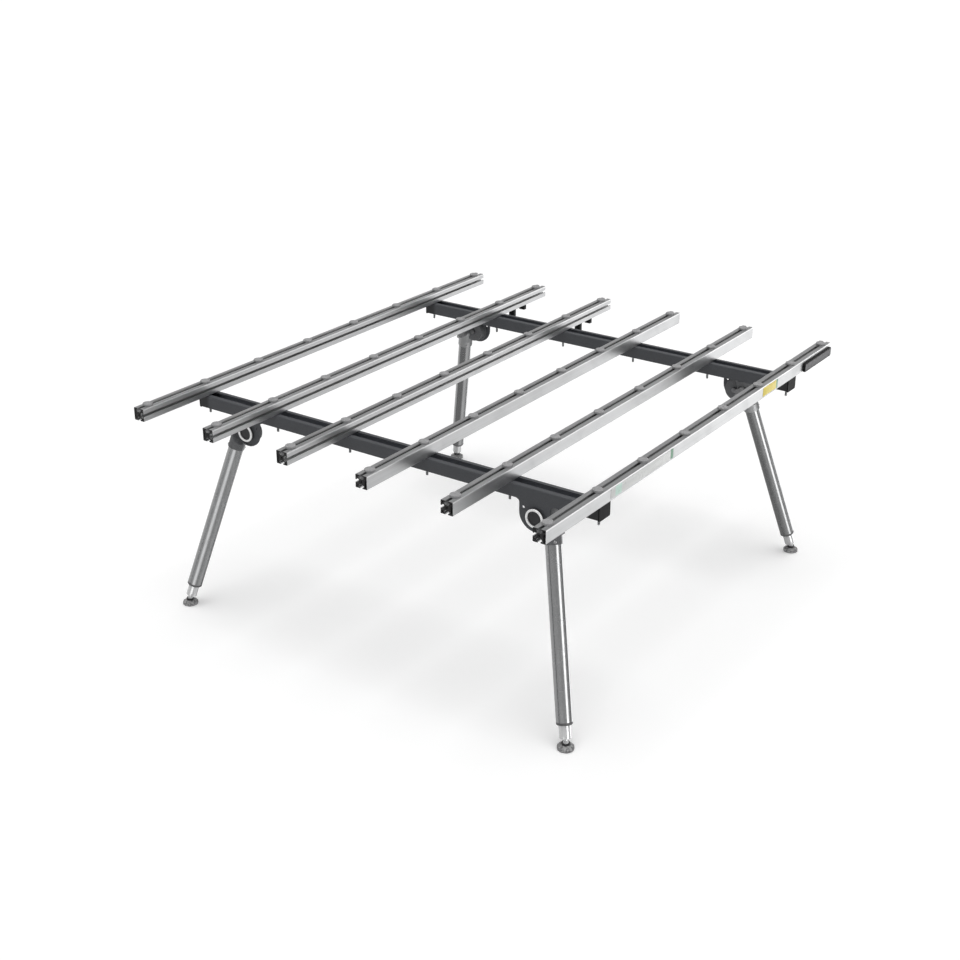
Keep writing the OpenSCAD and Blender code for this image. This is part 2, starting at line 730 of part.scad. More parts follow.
// Scalloped rubber foot moulded round the cup
module foot_pad(sx, sy) {
    edge = 1.2;
    color([0.4, 0.4, 0.42])
    at_ball(sx, sy) difference() {
        rotate_extrude() polygon([[0, 0], [foot_d / 2 - edge, 0], [foot_d / 2, edge], [foot_d / 2, foot_rim_h - 2 * edge],
            [foot_d / 2 - 2 * edge, foot_rim_h], [cup_r + 1, foot_top_h], [0, foot_top_h]]);
        translate([0, 0, foot_sole]) cylinder(r = cup_r, h = foot_top_h);
        translate([0, 0, foot_sole]) cylinder(r = cup_r + 4, h = 2.5);
        for (k = [0 : scallop_count - 1]) rotate(k * 360 / scallop_count) translate([foot_d / 2 + scallop_r * 0.4, 0, foot_sole - 2])
            cylinder(r = scallop_r, h = foot_top_h);
    }
}

// Grip on the plain face of the right-hand rail, at its rear end
module side_grip() {
    color([0.06, 0.06, 0.065])
    translate([deck_w / 2, rail_len / 2 - grip_len, rail_bottom + 1]) difference() {
        cube([grip_t, grip_len, grip_h]);
        translate([grip_t - grip_pocket, grip_border, grip_border])
            cube([grip_pocket + over, grip_len - 2 * grip_border, grip_h - 2 * grip_border]);
    }
}

module grip_insert() {
    color([0.45, 0.45, 0.46])
    translate([deck_w / 2 + grip_t - grip_pocket, rail_len / 2 - grip_len + grip_border + 0.1, rail_bottom + 1 + grip_border + 0.1])
        cube([grip_pocket - grip_insert_low, grip_len - 2 * grip_border - 0.2, grip_h - 2 * grip_border - 0.2]);
}

// Small hooks in the bottom slots of the second and third rails, behind the rear beam
module rail_hooks() {
    stem_w = slot_mouth - 2 * hook_play;
    head_z = slot_lip + 0.05;
    color([0.1, 0.1, 0.105])
    for (i = [1, 2]) translate([rail_x(i), hook_y, rail_bottom]) {
        translate([-hook_w / 2, -hook_len / 2, -hook_base]) cube([hook_w, hook_len, hook_base]);
        translate([-hook_w / 2, -hook_len / 2, -hook_drop]) cube([hook_w, hook_finger, hook_drop]);
        translate([-hook_w / 2, hook_len / 2 - hook_finger, -hook_short]) cube([hook_w, hook_finger, hook_short]);
        translate([-stem_w / 2, -hook_len / 2, -hook_base / 2]) cube([stem_w, hook_len, hook_base / 2 + head_z + hook_head_h]);
        translate([-hook_head_w / 2, -hook_len / 2, head_z]) cube([hook_head_w, hook_len, hook_head_h]);
    }
}

rail(0);  // rail_1
rail(1);  // rail_2
rail(2);  // rail_3
rail(3);  // rail_4
rail(4);  // rail_5
rail(5);  // rail_6
rail_pads();
mirror([0, 1, 0]) beam();  // front_beam
beam();  // rear_beam
beam_end_caps();
rail_bolts();
rail_washers();
rail_nuts();
pivot_bolts();
pivot_nuts();
pivot_caps();
pivot_rings();
side_grip();
grip_insert();
rail_hooks();
leg_socket(-1, -1);  // leg_socket_fl
leg_socket(1, -1);  // leg_socket_fr
leg_socket(-1, 1);  // leg_socket_rl
leg_socket(1, 1);  // leg_socket_rr
leg_tube(-1, -1);  // leg_tube_fl
leg_tube(1, -1);  // leg_tube_fr
leg_tube(-1, 1);  // leg_tube_rl
leg_tube(1, 1);  // leg_tube_rr
leg_rivets(-1, -1);  // leg_rivets_fl
leg_rivets(1, -1);  // leg_rivets_fr
leg_rivets(-1, 1);  // leg_rivets_rl
leg_rivets(1, 1);  // leg_rivets_rr
leg_plug(-1, -1);  // leg_plug_fl
leg_plug(1, -1);  // leg_plug_fr
leg_plug(-1, 1);  // leg_plug_rl
leg_plug(1, 1);  // leg_plug_rr
clamp_bolt(-1, -1);  // clamp_bolt_fl
clamp_bolt(1, -1);  // clamp_bolt_fr
clamp_bolt(-1, 1);  // clamp_bolt_rl
clamp_bolt(1, 1);  // clamp_bolt_rr
clamp_knob(-1, -1);  // clamp_knob_fl
clamp_knob(1, -1);  // clamp_knob_fr
clamp_knob(-1, 1);  // clamp_knob_rl
clamp_knob(1, 1);  // clamp_knob_rr
foot_sleeve(-1, -1);  // foot_sleeve_fl
foot_sleeve(1, -1);  // foot_sleeve_fr
foot_sleeve(-1, 1);  // foot_sleeve_rl
foot_sleeve(1, 1);  // foot_sleeve_rr
foot_cup(-1, -1);  // foot_cup_fl
foot_cup(1, -1);  // foot_cup_fr
foot_cup(-1, 1);  // foot_cup_rl
foot_cup(1, 1);  // foot_cup_rr
foot_pad(-1, -1);  // foot_pad_fl
foot_pad(1, -1);  // foot_pad_fr
foot_pad(-1, 1);  // foot_pad_rl
foot_pad(1, 1);  // foot_pad_rr
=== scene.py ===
import math

import bpy
import numpy as np
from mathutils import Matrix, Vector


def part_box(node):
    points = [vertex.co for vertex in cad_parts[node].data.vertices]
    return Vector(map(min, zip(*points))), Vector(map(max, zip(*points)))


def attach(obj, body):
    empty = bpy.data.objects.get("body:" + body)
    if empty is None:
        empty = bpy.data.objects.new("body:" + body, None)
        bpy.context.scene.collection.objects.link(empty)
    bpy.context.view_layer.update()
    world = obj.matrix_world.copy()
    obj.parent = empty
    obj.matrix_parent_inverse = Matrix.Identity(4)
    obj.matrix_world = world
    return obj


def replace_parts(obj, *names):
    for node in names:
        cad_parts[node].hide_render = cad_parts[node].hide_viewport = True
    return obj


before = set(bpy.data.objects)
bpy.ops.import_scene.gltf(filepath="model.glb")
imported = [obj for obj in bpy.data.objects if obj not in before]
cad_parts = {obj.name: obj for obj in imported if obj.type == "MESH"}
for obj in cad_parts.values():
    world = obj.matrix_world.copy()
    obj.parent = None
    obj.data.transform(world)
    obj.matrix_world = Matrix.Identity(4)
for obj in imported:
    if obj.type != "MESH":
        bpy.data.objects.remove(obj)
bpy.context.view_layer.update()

# Rails
# Six lengths of slotted aluminium, extruded through a die, anodised in a clear satin coat and sawn to
# length. The die leaves fine lines along each rail, and the saw leaves arcs on its cut ends.

RAIL_STEP = 0.291
RAIL_X = (np.arange(6) - 2.5) * RAIL_STEP
RAIL_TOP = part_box("rail_1")[1].z


def put(tree, kind, inputs=None, **settings):
    """Puts a node in a tree. Settings are the node's own, and an input takes a value or the socket that feeds
    it."""
    made = tree.nodes.new("ShaderNode" + kind)
    for name, value in settings.items():
        setattr(made, name, value)
    for name, value in (inputs or {}).items():
        if isinstance(value, bpy.types.NodeSocket):
            tree.links.new(value, made.inputs[name])
        else:
            made.inputs[name].default_value = value
    return made


def sums(tree, kind, first, second=0.0, third=0.0):
    """One step of arithmetic on numbers or sockets."""
    return put(tree, "Math", {0: first, 1: second, 2: third}, operation=kind).outputs[0]


def product(tree, *factors):
    """Numbers or sockets, all multiplied together."""
    total = factors[0]
    for factor in factors[1:]:
        total = sums(tree, "MULTIPLY", total, factor)
    return total


def plus(tree, base, value, share):
    """The base plus a share of the value."""
    return sums(tree, "MULTIPLY_ADD", value, share, base)


def spread(tree, value, low, high, to_low=0.0, to_high=1.0):
    """The value carried in a straight line from one span to another, and held at the second span's ends."""
    given = {"Value": value, "From Min": low, "From Max": high, "To Min": to_low, "To Max": to_high}
    return put(tree, "MapRange", given).outputs["Result"]


def fading(tree, value, low, high):
    """A mask of one up to the low value, which falls to zero at the high one."""
    return spread(tree, value, low, high, 1.0, 0.0)


def split(tree, vector):
    """The X, Y and Z of a vector."""
    return put(tree, "SeparateXYZ", {0: vector}).outputs


def noise(tree, where, scale, detail, roughness=0.5, distortion=0.0):
    """Fractal noise between zero and one."""
    given = {"Scale": scale, "Detail": detail, "Roughness": roughness, "Distortion": distortion}
    return put(tree, "TexNoise", {"Vector": where, **given}).outputs["Fac"]


def tinted(tree, share, first, second):
    """A colour between two colours, at share 0 the first and at share 1 the second. A colour is a socket or
    its red, green and blue."""
    first, second = (end if isinstance(end, bpy.types.NodeSocket) else (*end, 1) for end in (first, second))
    return put(tree, "Mix", {0: share, 6: first, 7: second}, data_type="RGBA").outputs[2]


def effect(name, takes, gives):
    """An empty shader effect with named inputs and outputs; returns its tree, its inputs and its outputs."""
    tree = bpy.data.node_groups.new(name, "ShaderNodeTree")
    for label, kind, value in takes:
        socket = tree.interface.new_socket(label, in_out="INPUT", socket_type="NodeSocket" + kind)
        if value is not None:
            socket.default_value = value
    for label, kind in gives:
        tree.interface.new_socket(label, in_out="OUTPUT", socket_type="NodeSocket" + kind)
    return tree, tree.nodes.new("NodeGroupInput").outputs, tree.nodes.new("NodeGroupOutput").inputs


def hand_out(tree, gives, **values):
    """Links values to an effect's outputs."""
    for label, value in values.items():
        tree.links.new(value, gives[label])


def use(tree, group, where, **settings):
    """The outputs of an effect over these coordinates."""
    return put(tree, "Group", {"Vector": where, **settings}, node_tree=group).outputs


def finish(name, colour, roughness, metallic=0.0):
    """A material of one Principled shader; returns it, its tree and the Object coordinates."""
    made = bpy.data.materials.new(name)
    made.use_nodes = True
    shader = made.node_tree.nodes["Principled BSDF"].inputs
    shader["Base Color"].default_value = (*colour, 1)
    shader["Roughness"].default_value = roughness
    shader["Metallic"].default_value = metallic
    return made, made.node_tree, put(made.node_tree, "TexCoord").outputs["Object"]


def feed(tree, **sources):
    """Links sockets to a material's shader. An underscore in an input's name stands for a space."""
    for name, source in sources.items():
        tree.links.new(source, tree.nodes["Principled BSDF"].inputs[name.replace("_", " ")])


def feeding(tree, name):
    """The socket that feeds an input of a material's shader so far."""
    return tree.nodes["Principled BSDF"].inputs[name].links[0].from_socket


def dress(finished, *nodes):
    """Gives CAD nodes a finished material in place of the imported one."""
    for name in nodes:
        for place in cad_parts[name].material_slots:
            place.material = finished


drawn_lines, takes, gives = effect(
    "drawn lines",
    [("Vector", "Vector", None), ("Lines", "Float", 700.0), ("Depth", "Float", 0.00004)],
    [("Shade", "Float"), ("Cloud", "Float"), ("Normal", "Vector")],
)
# Noise stretched hundreds of times along Y, once fine and once broad, gives the die's lines and cloudy bands
CHANGES_ALONG = 3.0
x, y, z = split(drawn_lines, takes["Vector"])
stretched = put(drawn_lines, "CombineXYZ", {
    0: product(drawn_lines, x, takes["Lines"]),
    1: product(drawn_lines, y, CHANGES_ALONG),
    2: product(drawn_lines, z, takes["Lines"]),
}).outputs[0]
fine = noise(drawn_lines, stretched, 1.0, 3.0, 0.6)
broad = noise(drawn_lines, stretched, 0.13, 2.0)
grooved = put(drawn_lines, "Bump", {"Strength": 1.0, "Distance": takes["Depth"], "Height": fine})
hand_out(
    drawn_lines, gives,
    Shade=plus(drawn_lines, product(drawn_lines, broad, 0.4), fine, 0.6),
    Cloud=noise(drawn_lines, takes["Vector"], 7.0, 4.0),
    Normal=grooved.outputs["Normal"],
)

handling, takes, gives = effect(
    "handling marks",
    [("Vector", "Vector", None), ("Amount", "Float", 0.5)],
    [("Smudge", "Float"), ("Scuff", "Float")],
)
# Soft patches from hands, and small sharp scuffs where other things have knocked the surface
patch = noise(handling, takes["Vector"], 14.0, 5.0, 0.62, 0.8)
knock = noise(handling, takes["Vector"], 160.0, 6.0, 0.75, 1.6)
hand_out(
    handling, gives,
    Smudge=product(handling, spread(handling, patch, 0.48, 0.72), takes["Amount"]),
    Scuff=product(handling, spread(handling, knock, 0.66, 0.72), takes["Amount"]),
)


def drawn_aluminium(name, colour, roughness, turn=(0, 0, 0), lines=700.0, depth=0.00004):
    """Satin anodised aluminium with its drawn lines turned to lie along the length of the piece."""
    made, tree, where = finish(name, colour, roughness, 1.0)
    turned_to = put(tree, "Mapping", {"Vector": where, "Rotation": turn}, vector_type="POINT").outputs[0]
    drawn = use(tree, drawn_lines, turned_to, Lines=lines, Depth=depth)
    marks = use(tree, handling, where, Amount=0.5)
    tone = tinted(tree, spread(tree, drawn["Shade"], 0.35, 0.65), [c * 0.86 for c in colour], colour)
    rough = plus(tree, plus(tree, roughness - 0.08, drawn["Shade"], 0.16), marks["Smudge"], 0.14)
    feed(
        tree,
        Base_Color=tinted(tree, product(tree, marks["Scuff"], 0.5), tone, (0.9, 0.9, 0.9)),
        Roughness=plus(tree, rough, drawn["Cloud"], 0.08),
        Normal=drawn["Normal"],
    )
    return made, tree, where


rail_finish, tree, where = drawn_aluminium("rail_aluminium", (0.64, 0.645, 0.65), 0.34)
east, north, level = split(tree, where)
facing = split(tree, put(tree, "NewGeometry").outputs["Normal"])
# Painted shade keeps the slots and hollows dark, except near the ends, where the light comes in. The distance
# from the nearest rail's middle, in rail steps, tells the slots from the skin
SLOT_SIDE, SKIN_SIDE = 0.0175, 0.0190
# The distances along Y over which the painted slot shade fades out towards the rail ends
SLOT_SHADE_END, UNSHADED_END = 0.860, 0.885
# The levels between which the painted slot shade fades out, the side slots' paler painted shade turns into
# the top slot's darker one, and the painted edge highlight fades in
SLOT_SHADE_Z = RAIL_TOP - 0.0030, RAIL_TOP - 0.0010
SLOT_SHADE_SWAP_Z = RAIL_TOP - 0.0115, RAIL_TOP - 0.0095
EDGE_HIGHLIGHT_Z = RAIL_TOP - 0.0055, RAIL_TOP - 0.0025
SIDE_SLOT_SHADE, TOP_SLOT_SHADE = 0.50, 0.30
aside = sums(tree, "PINGPONG", plus(tree, 2.5, east, 1 / RAIL_STEP), 0.5)
painted_slot_shade = product(
    tree,
    fading(tree, aside, SLOT_SIDE / RAIL_STEP, SKIN_SIDE / RAIL_STEP),
    fading(tree, level, *SLOT_SHADE_Z),
    fading(tree, sums(tree, "ABSOLUTE", north), SLOT_SHADE_END, UNSHADED_END),
)
# The painted shade is paler grey in the side slots and darker grey in the top slot
slot_shade_level = spread(tree, level, *SLOT_SHADE_SWAP_Z, SIDE_SLOT_SHADE, TOP_SLOT_SHADE)
slot_shade_colour = put(tree, "CombineXYZ", {0: slot_shade_level, 1: slot_shade_level, 2: slot_shade_level}).outputs[0]
rail_colour = tinted(tree, painted_slot_shade, feeding(tree, "Base Color"), slot_shade_colour)
# The upper edges of the sides carry a painted highlight, near white
painted_edge_highlight = product(
    tree,
    spread(tree, level, *EDGE_HIGHLIGHT_Z),
    spread(tree, sums(tree, "ABSOLUTE", facing[0]), 0.4, 0.6),
)
rail_colour = tinted(tree, painted_edge_highlight, rail_colour, (0.93, 0.93, 0.935))
# The cut ends, where the surface faces along Y, carry painted shade in near black, and keep the saw arcs of a
# big blade
cut_end_and_shade = spread(tree, sums(tree, "ABSOLUTE", facing[1]), 0.9, 0.95)
blade = put(tree, "Mapping", {"Vector": where, "Location": (0.2, 0, -0.55), "Scale": (1, 0, 1)}).outputs[0]
waves = {"Vector": blade, "Scale": 420.0, "Distortion": 1.5, "Detail": 2.0}
arcs = put(tree, "TexWave", waves, wave_type="RINGS").outputs["Fac"]
sawn = {"Strength": cut_end_and_shade, "Distance": 0.00012, "Height": arcs, "Normal": feeding(tree, "Normal")}
feed(
    tree,
    Base_Color=tinted(tree, cut_end_and_shade, rail_colour, (0.075, 0.075, 0.076)),
    Normal=put(tree, "Bump", sawn).outputs["Normal"],
)
for number in range(1, 7):
    dress(rail_finish, f"rail_{number}")

# Slab pads
# Forty-eight moulded rubber buttons, pushed into the rails' top slots by a neck and a head. Each has a
# rounded shoulder, a shallow ring and a dimple, and the mould leaves a fine matt grain.

PAD_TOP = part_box("rail_pads")[1].z
PAD_END = 0.8655
PAD_Y = np.linspace(-PAD_END, PAD_END, 8)
PAD_R, PAD_THICK, PAD_ROUND, PAD_EDGE = 0.0155, 0.0070, 0.0018, 0.0004
NECK_R, HEAD_R, HEAD_THICK = 0.0048, 0.00825, 0.0036
# The shallow ring's inner and outer radius, how far its walls lean, and its depth
RING_IN, RING_OUT, RING_LEAN, RING_DEEP = 0.0094, 0.0112, 0.0004, 0.0006
# The dimple is pressed by a ball of this radius, whose middle stands this much over the pad
DIMPLE_R, DIMPLE_BALL, DIMPLE_RISE = 0.0032, 0.0041, 0.0026


def skin(rings, loop=False):
    """Faces over a grid of points. Each row is a closed ring; a point joins its neighbour on the ring and the
    same point on the next ring, and a fan about the middle of the first and last ring shuts the ends. In a
    loop the last ring joins the first in place of the fans."""
    rows, steps = rings.shape[:2]
    here = np.arange(rows * steps).reshape(rows, steps)
    beside = np.roll(here, -1, axis=1)
    if loop:
        quads = np.stack([here, beside, np.roll(beside, -1, axis=0), np.roll(here, -1, axis=0)], axis=-1)
        return rings.reshape(-1, 3), quads.reshape(-1, 4), np.zeros((0, 3), int)
    quads = np.stack([here[:-1], beside[:-1], beside[1:], here[1:]], axis=-1).reshape(-1, 4)
    low, high = np.full(steps, rows * steps), np.full(steps, rows * steps + 1)
    fans = [np.stack([low, beside[0], here[0]], -1), np.stack([high, here[-1], beside[-1]], -1)]
    return np.concatenate([rings.reshape(-1, 3), rings[[0, -1]].mean(1)]), quads, np.concatenate(fans)


def turned(profile, steps=40, swell=None, loop=False):
    """A lathe surface: each (radius, height) goes round Z, x = radius cos a and y = radius sin a. Where swell
    is given, it is a grid that multiplies the radius at each height and angle. A loop is a section closed on
    itself."""
    radius, height = np.asarray(profile, float).T
    a = np.linspace(0, 2 * np.pi, steps, endpoint=False)
    out = radius[:, None] * (np.ones((len(radius), steps)) if swell is None else swell)
    return skin(np.stack([out * np.cos(a), out * np.sin(a), height[:, None] + 0 * out], axis=-1), loop)


def arc(middle, radius, start, end, steps=6):
    """Points on an arc of a profile, from one angle in degrees to another."""
    a = np.radians(np.linspace(start, end, steps))
    return np.stack([middle[0] + radius * np.cos(a), middle[1] + radius * np.sin(a)], axis=-1)


def repeat(shape, places):
    """The same shape at every place: each point plus each offset, and faces that count on by one shape a
    time."""
    points, quads, fans = shape
    places = np.asarray(places, float).reshape(-1, 3)
    on = np.arange(len(places))[:, None, None] * len(points)
    return (places[:, None] + points).reshape(-1, 3), (quads + on).reshape(-1, 4), (fans + on).reshape(-1, 3)


def piece(name, shapes, body, finished, sharp=38):
    """One object of several shapes. Faces are turned about where six times a shape's volume, the sum over
    its triangles of a dot (b cross c), is below zero, so they all point outwards."""
    points, faces, count = [], [], 0
    for p, quads, fans in shapes:
        tri = np.concatenate([quads[:, :3], quads[:, [0, 2, 3]], fans])
        volume = np.einsum("ij,ij->i", p[tri[:, 0]], np.cross(p[tri[:, 1]], p[tri[:, 2]])).sum()
        turn = -1 if volume < 0 else 1
        faces += (quads[:, ::turn] + count).tolist() + (fans[:, ::turn] + count).tolist()
        points.append(p)
        count += len(p)
    mesh = bpy.data.meshes.new(name)
    mesh.from_pydata(np.concatenate(points), [], faces)
    mesh.polygons.foreach_set("use_smooth", np.ones(len(faces), bool))
    mesh.set_sharp_from_angle(angle=math.radians(sharp))
    mesh.materials.append(finished)
    made = bpy.data.objects.new(name, mesh)
    bpy.context.scene.collection.objects.link(made)
    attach(made, body)
    return made


moulded, takes, gives = effect(
    "moulded grain",
    [("Vector", "Vector", None), ("Grains", "Float", 900.0), ("Depth", "Float", 0.00006)],
    [("Shade", "Float"), ("Normal", "Vector")],
)
# Small pits with raised borders, from cell noise, over a slower waviness of the mould
cells = put(moulded, "TexVoronoi", {"Vector": takes["Vector"], "Scale": takes["Grains"]}, feature="SMOOTH_F1")
pitted = cells.outputs["Distance"]
slow = noise(moulded, takes["Vector"], 90.0, 3.0)
grained = {"Strength": 0.8, "Distance": takes["Depth"], "Height": plus(moulded, pitted, slow, 0.8)}
hand_out(
    moulded, gives,
    Shade=plus(moulded, product(moulded, slow, 0.6), pitted, 0.4),
    Normal=put(moulded, "Bump", grained).outputs["Normal"],
)

dusting, takes, gives = effect(
    "settled dust",
    [("Vector", "Vector", None), ("Amount", "Float", 0.3)],
    [("Mask", "Float")],
)
# Dust lies where the surface faces up, thicker in some patches than in others
upward = split(dusting, put(dusting, "NewGeometry").outputs["Normal"])[2]
patchy = noise(dusting, takes["Vector"], 30.0, 5.0, 0.7)
lying = product(dusting, spread(dusting, upward, 0.2, 0.95), spread(dusting, patchy, 0.35, 0.75))
hand_out(dusting, gives, Mask=product(dusting, lying, takes["Amount"]))


def moulding(name, colour, roughness, grains=900.0, depth=0.00006, dust=0.15, worn=0.35):
    """Moulded rubber or plastic: a matt grain, slightly paler where it stands high, with handling marks
    and some dust."""
    made, tree, where = finish(name, colour, roughness)
    grain = use(tree, moulded, where, Grains=grains, Depth=depth)
    marks = use(tree, handling, where, Amount=worn)
    lying = use(tree, dusting, where, Amount=dust)["Mask"]
    paler = [min(1.0, c * 1.35 + 0.006) for c in colour]
    tone = tinted(tree, spread(tree, grain["Shade"], 0.3, 0.8), colour, paler)
    tone = tinted(tree, product(tree, marks["Scuff"], 0.35), tone, (0.42, 0.42, 0.42))
    feed(
        tree,
        Base_Color=tinted(tree, lying, tone, (0.5, 0.49, 0.47)),
        Roughness=plus(tree, plus(tree, roughness, marks["Smudge"], -0.16), lying, 0.4),
        Normal=grain["Normal"],
    )
    return made


pad_rubber = moulding("pad_rubber", (0.30, 0.30, 0.305), 0.62, dust=0.1)
head_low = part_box("rail_pads")[0].z - PAD_TOP
head_high = head_low + HEAD_THICK
pad_profile = np.concatenate([
    [(HEAD_R, head_low), (HEAD_R, head_high), (NECK_R, head_high), (NECK_R, -PAD_THICK)],
    [(PAD_R - PAD_EDGE, -PAD_THICK), (PAD_R, PAD_EDGE - PAD_THICK)],
    arc((PAD_R - PAD_ROUND, -PAD_ROUND), PAD_ROUND, 0, 90),
    [(RING_OUT, 0.0), (RING_OUT - RING_LEAN, -RING_DEEP), (RING_IN + RING_LEAN, -RING_DEEP), (RING_IN, 0.0)],
    [(DIMPLE_R, 0.0)],
    arc((0.0, DIMPLE_RISE), DIMPLE_BALL, -39, -66, 4),
])
pads = repeat(turned(pad_profile, 36), [(x, y, PAD_TOP) for x in RAIL_X for y in PAD_Y])
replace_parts(piece("slab_pads", [pads], "table", pad_rubber), "rail_pads")

# Beams
# Two lipped channels pressed from 3 mm steel sheet, with a cheek below each end, powder coated in dark
# grey. The coat has a fine orange peel, and a duller bloom where it was baked thicker.

BEAM_Y, SHEET = 0.604, 0.003
# Half the channel's width inside the steel, and the levels between which its inside is painted lighter
CHANNEL_HALF, CHANNEL_FLOOR, CHANNEL_LIPS = 0.0265, RAIL_TOP - 0.0795, RAIL_TOP - 0.0425
# The distances from the middle of a beam at which the darkening near the caps begins and is full
DARK_FROM, DARK_FULL = 0.698, 0.712

peel, takes, gives = effect(
    "orange peel",
    [("Vector", "Vector", None), ("Depth", "Float", 0.00005)],
    [("Speck", "Float"), ("Bloom", "Float"), ("Normal", "Vector")],
)
# Two sizes of rounded noise make the peel's dimples; a slow noise makes the bloom
specks = noise(peel, takes["Vector"], 1500.0, 2.0)
height = plus(peel, noise(peel, takes["Vector"], 420.0, 1.0), specks, 0.35)
dimpled = {"Strength": 0.9, "Distance": takes["Depth"], "Height": height}
hand_out(
    peel, gives,
    Speck=spread(peel, specks, 0.42, 0.62),
    Bloom=noise(peel, takes["Vector"], 5.0, 4.0),
    Normal=put(peel, "Bump", dimpled).outputs["Normal"],
)

beam_paint, tree, where = finish("beam_paint", (0.062, 0.065, 0.074), 0.42)
coat = use(tree, peel, where)
marks = use(tree, handling, where, Amount=0.4)
lying = use(tree, dusting, where, Amount=0.03)["Mask"]
tone = tinted(tree, coat["Speck"], (0.056, 0.059, 0.065), (0.080, 0.084, 0.093))
# Painted light: the inside of the channel is painted a paler grey
along, north, level = split(tree, where)
from_middle = sums(tree, "ABSOLUTE", sums(tree, "SUBTRACT", sums(tree, "ABSOLUTE", north), BEAM_Y))
painted_channel_light = product(
    tree,
    sums(tree, "LESS_THAN", from_middle, CHANNEL_HALF),
    sums(tree, "GREATER_THAN", level, CHANNEL_FLOOR),
    sums(tree, "LESS_THAN", level, CHANNEL_LIPS),
)
tone = tinted(tree, painted_channel_light, tone, (0.25, 0.26, 0.285))
# The paint darkens to near black over the last stretch before the caps
darkened_near_cap = spread(tree, sums(tree, "ABSOLUTE", along), DARK_FROM, DARK_FULL, 0.0, 0.75)
tone = tinted(tree, darkened_near_cap, tone, (0.012, 0.012, 0.013))
tone = tinted(tree, product(tree, marks["Scuff"], 0.3), tone, (0.3, 0.3, 0.3))
feed(
    tree,
    Base_Color=tinted(tree, lying, tone, (0.4, 0.4, 0.39)),
    Roughness=plus(tree, plus(tree, 0.36, coat["Bloom"], 0.14), marks["Smudge"], -0.1),
    Normal=coat["Normal"],
)
dress(beam_paint, "front_beam", "rear_beam")

# Beam end caps
# Injection-moulded black caps, pushed by a plug into the four open ends of the beams, with a flange over the
# steel. They keep hardly any shine.

black_moulding = moulding("black_moulding", (0.008, 0.008, 0.0085), 0.55, grains=1100.0, dust=0.03)
black_moulding.node_tree.nodes["Principled BSDF"].inputs["Specular IOR Level"].default_value = 0.12
dress(black_moulding, "beam_end_caps")

# Rail bolts
# Twelve zinc-plated hammer-head bolts hang from the rails' bottom slots through the beams, with a rolled
# thread. A washer and a hex nut close each one below the beam, and the thread shows under the nut.

BOLT_R, THREAD_LENGTH, THREAD_PITCH, THREAD_DEPTH = 0.004, 0.030, 0.00125, 0.00055
HAMMER_HALF_X, HAMMER_HALF_Y, HAMMER_THICK = 0.008, 0.0039, 0.004


def threaded(radius, low, high, pitch, depth, steps=24):
    """A rolled thread on a rod along Z. The radius at height z and angle a falls by depth times a triangle
    wave of z over pitch minus a over a full turn, and the thread runs out over the last pitch at either
    end."""
    z = np.arange(low, high, pitch / 7)
    a = np.linspace(0, 2 * np.pi, steps, endpoint=False)
    wave = np.abs(2 * ((z[:, None] / pitch - a / (2 * np.pi)) % 1) - 1)
    fade = np.clip(np.minimum(z - low, high - z) / pitch, 0, 1)[:, None]
    out = radius - depth * (1 - wave) * fade
    return np.stack([out * np.cos(a), out * np.sin(a), z[:, None] + 0 * out], axis=-1)


def ring(radius, height, steps=24):
    """One ring of a rod along Z, x = radius cos a and y = radius sin a."""
    a = np.linspace(0, 2 * np.pi, steps, endpoint=False)
    return np.stack([radius * np.cos(a), radius * np.sin(a), height + 0 * a], axis=-1)[None]


def rounded_slab(half_x, half_y, low, high, corner, ease, steps=8):
    """A block with round upright corners and eased top and bottom edges: rounded outlines stacked along Z,
    each the middle outline drawn in by the ease's quarter circle."""
    a = np.linspace(0, np.pi / 2, steps)
    turn = np.concatenate([a + k * np.pi / 2 for k in range(4)])
    side = np.repeat([(1, 1), (-1, 1), (-1, -1), (1, -1)], steps, axis=0)
    bend = np.linspace(0, np.pi / 2, 4)
    inset = np.concatenate([ease * (1 - np.sin(bend)), ease * (1 - np.cos(bend))])
    level = np.concatenate([low + ease * (1 - np.cos(bend)), high - ease * (1 - np.sin(bend))])
    around = np.stack([np.cos(turn), np.sin(turn)], axis=-1)
    middle = side * (half_x - corner, half_y - corner)
    flat = middle[None] + around[None] * (corner - inset[:, None, None])
    upright = np.broadcast_to(level[:, None, None], (len(level), len(turn), 1))
    return skin(np.concatenate([flat, upright], axis=-1))


zinc, tree, where = finish("zinc_plate", (0.56, 0.565, 0.57), 0.3, 1.0)
spangle = put(tree, "TexVoronoi", {"Vector": where, "Scale": 520.0}).outputs["Color"]
shade = split(tree, spangle)[0]
marks = use(tree, handling, where, Amount=0.7)
tone = tinted(tree, shade, (0.50, 0.505, 0.50), (0.64, 0.65, 0.67))
feed(
    tree,
    Base_Color=tinted(tree, product(tree, marks["Smudge"], 0.4), tone, (0.42, 0.40, 0.36)),
    Roughness=plus(tree, plus(tree, 0.24, shade, 0.12), marks["Smudge"], 0.2),
)

bolt_low, bolt_high = (corner.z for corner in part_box("rail_bolts"))
thread_top = bolt_low + THREAD_LENGTH
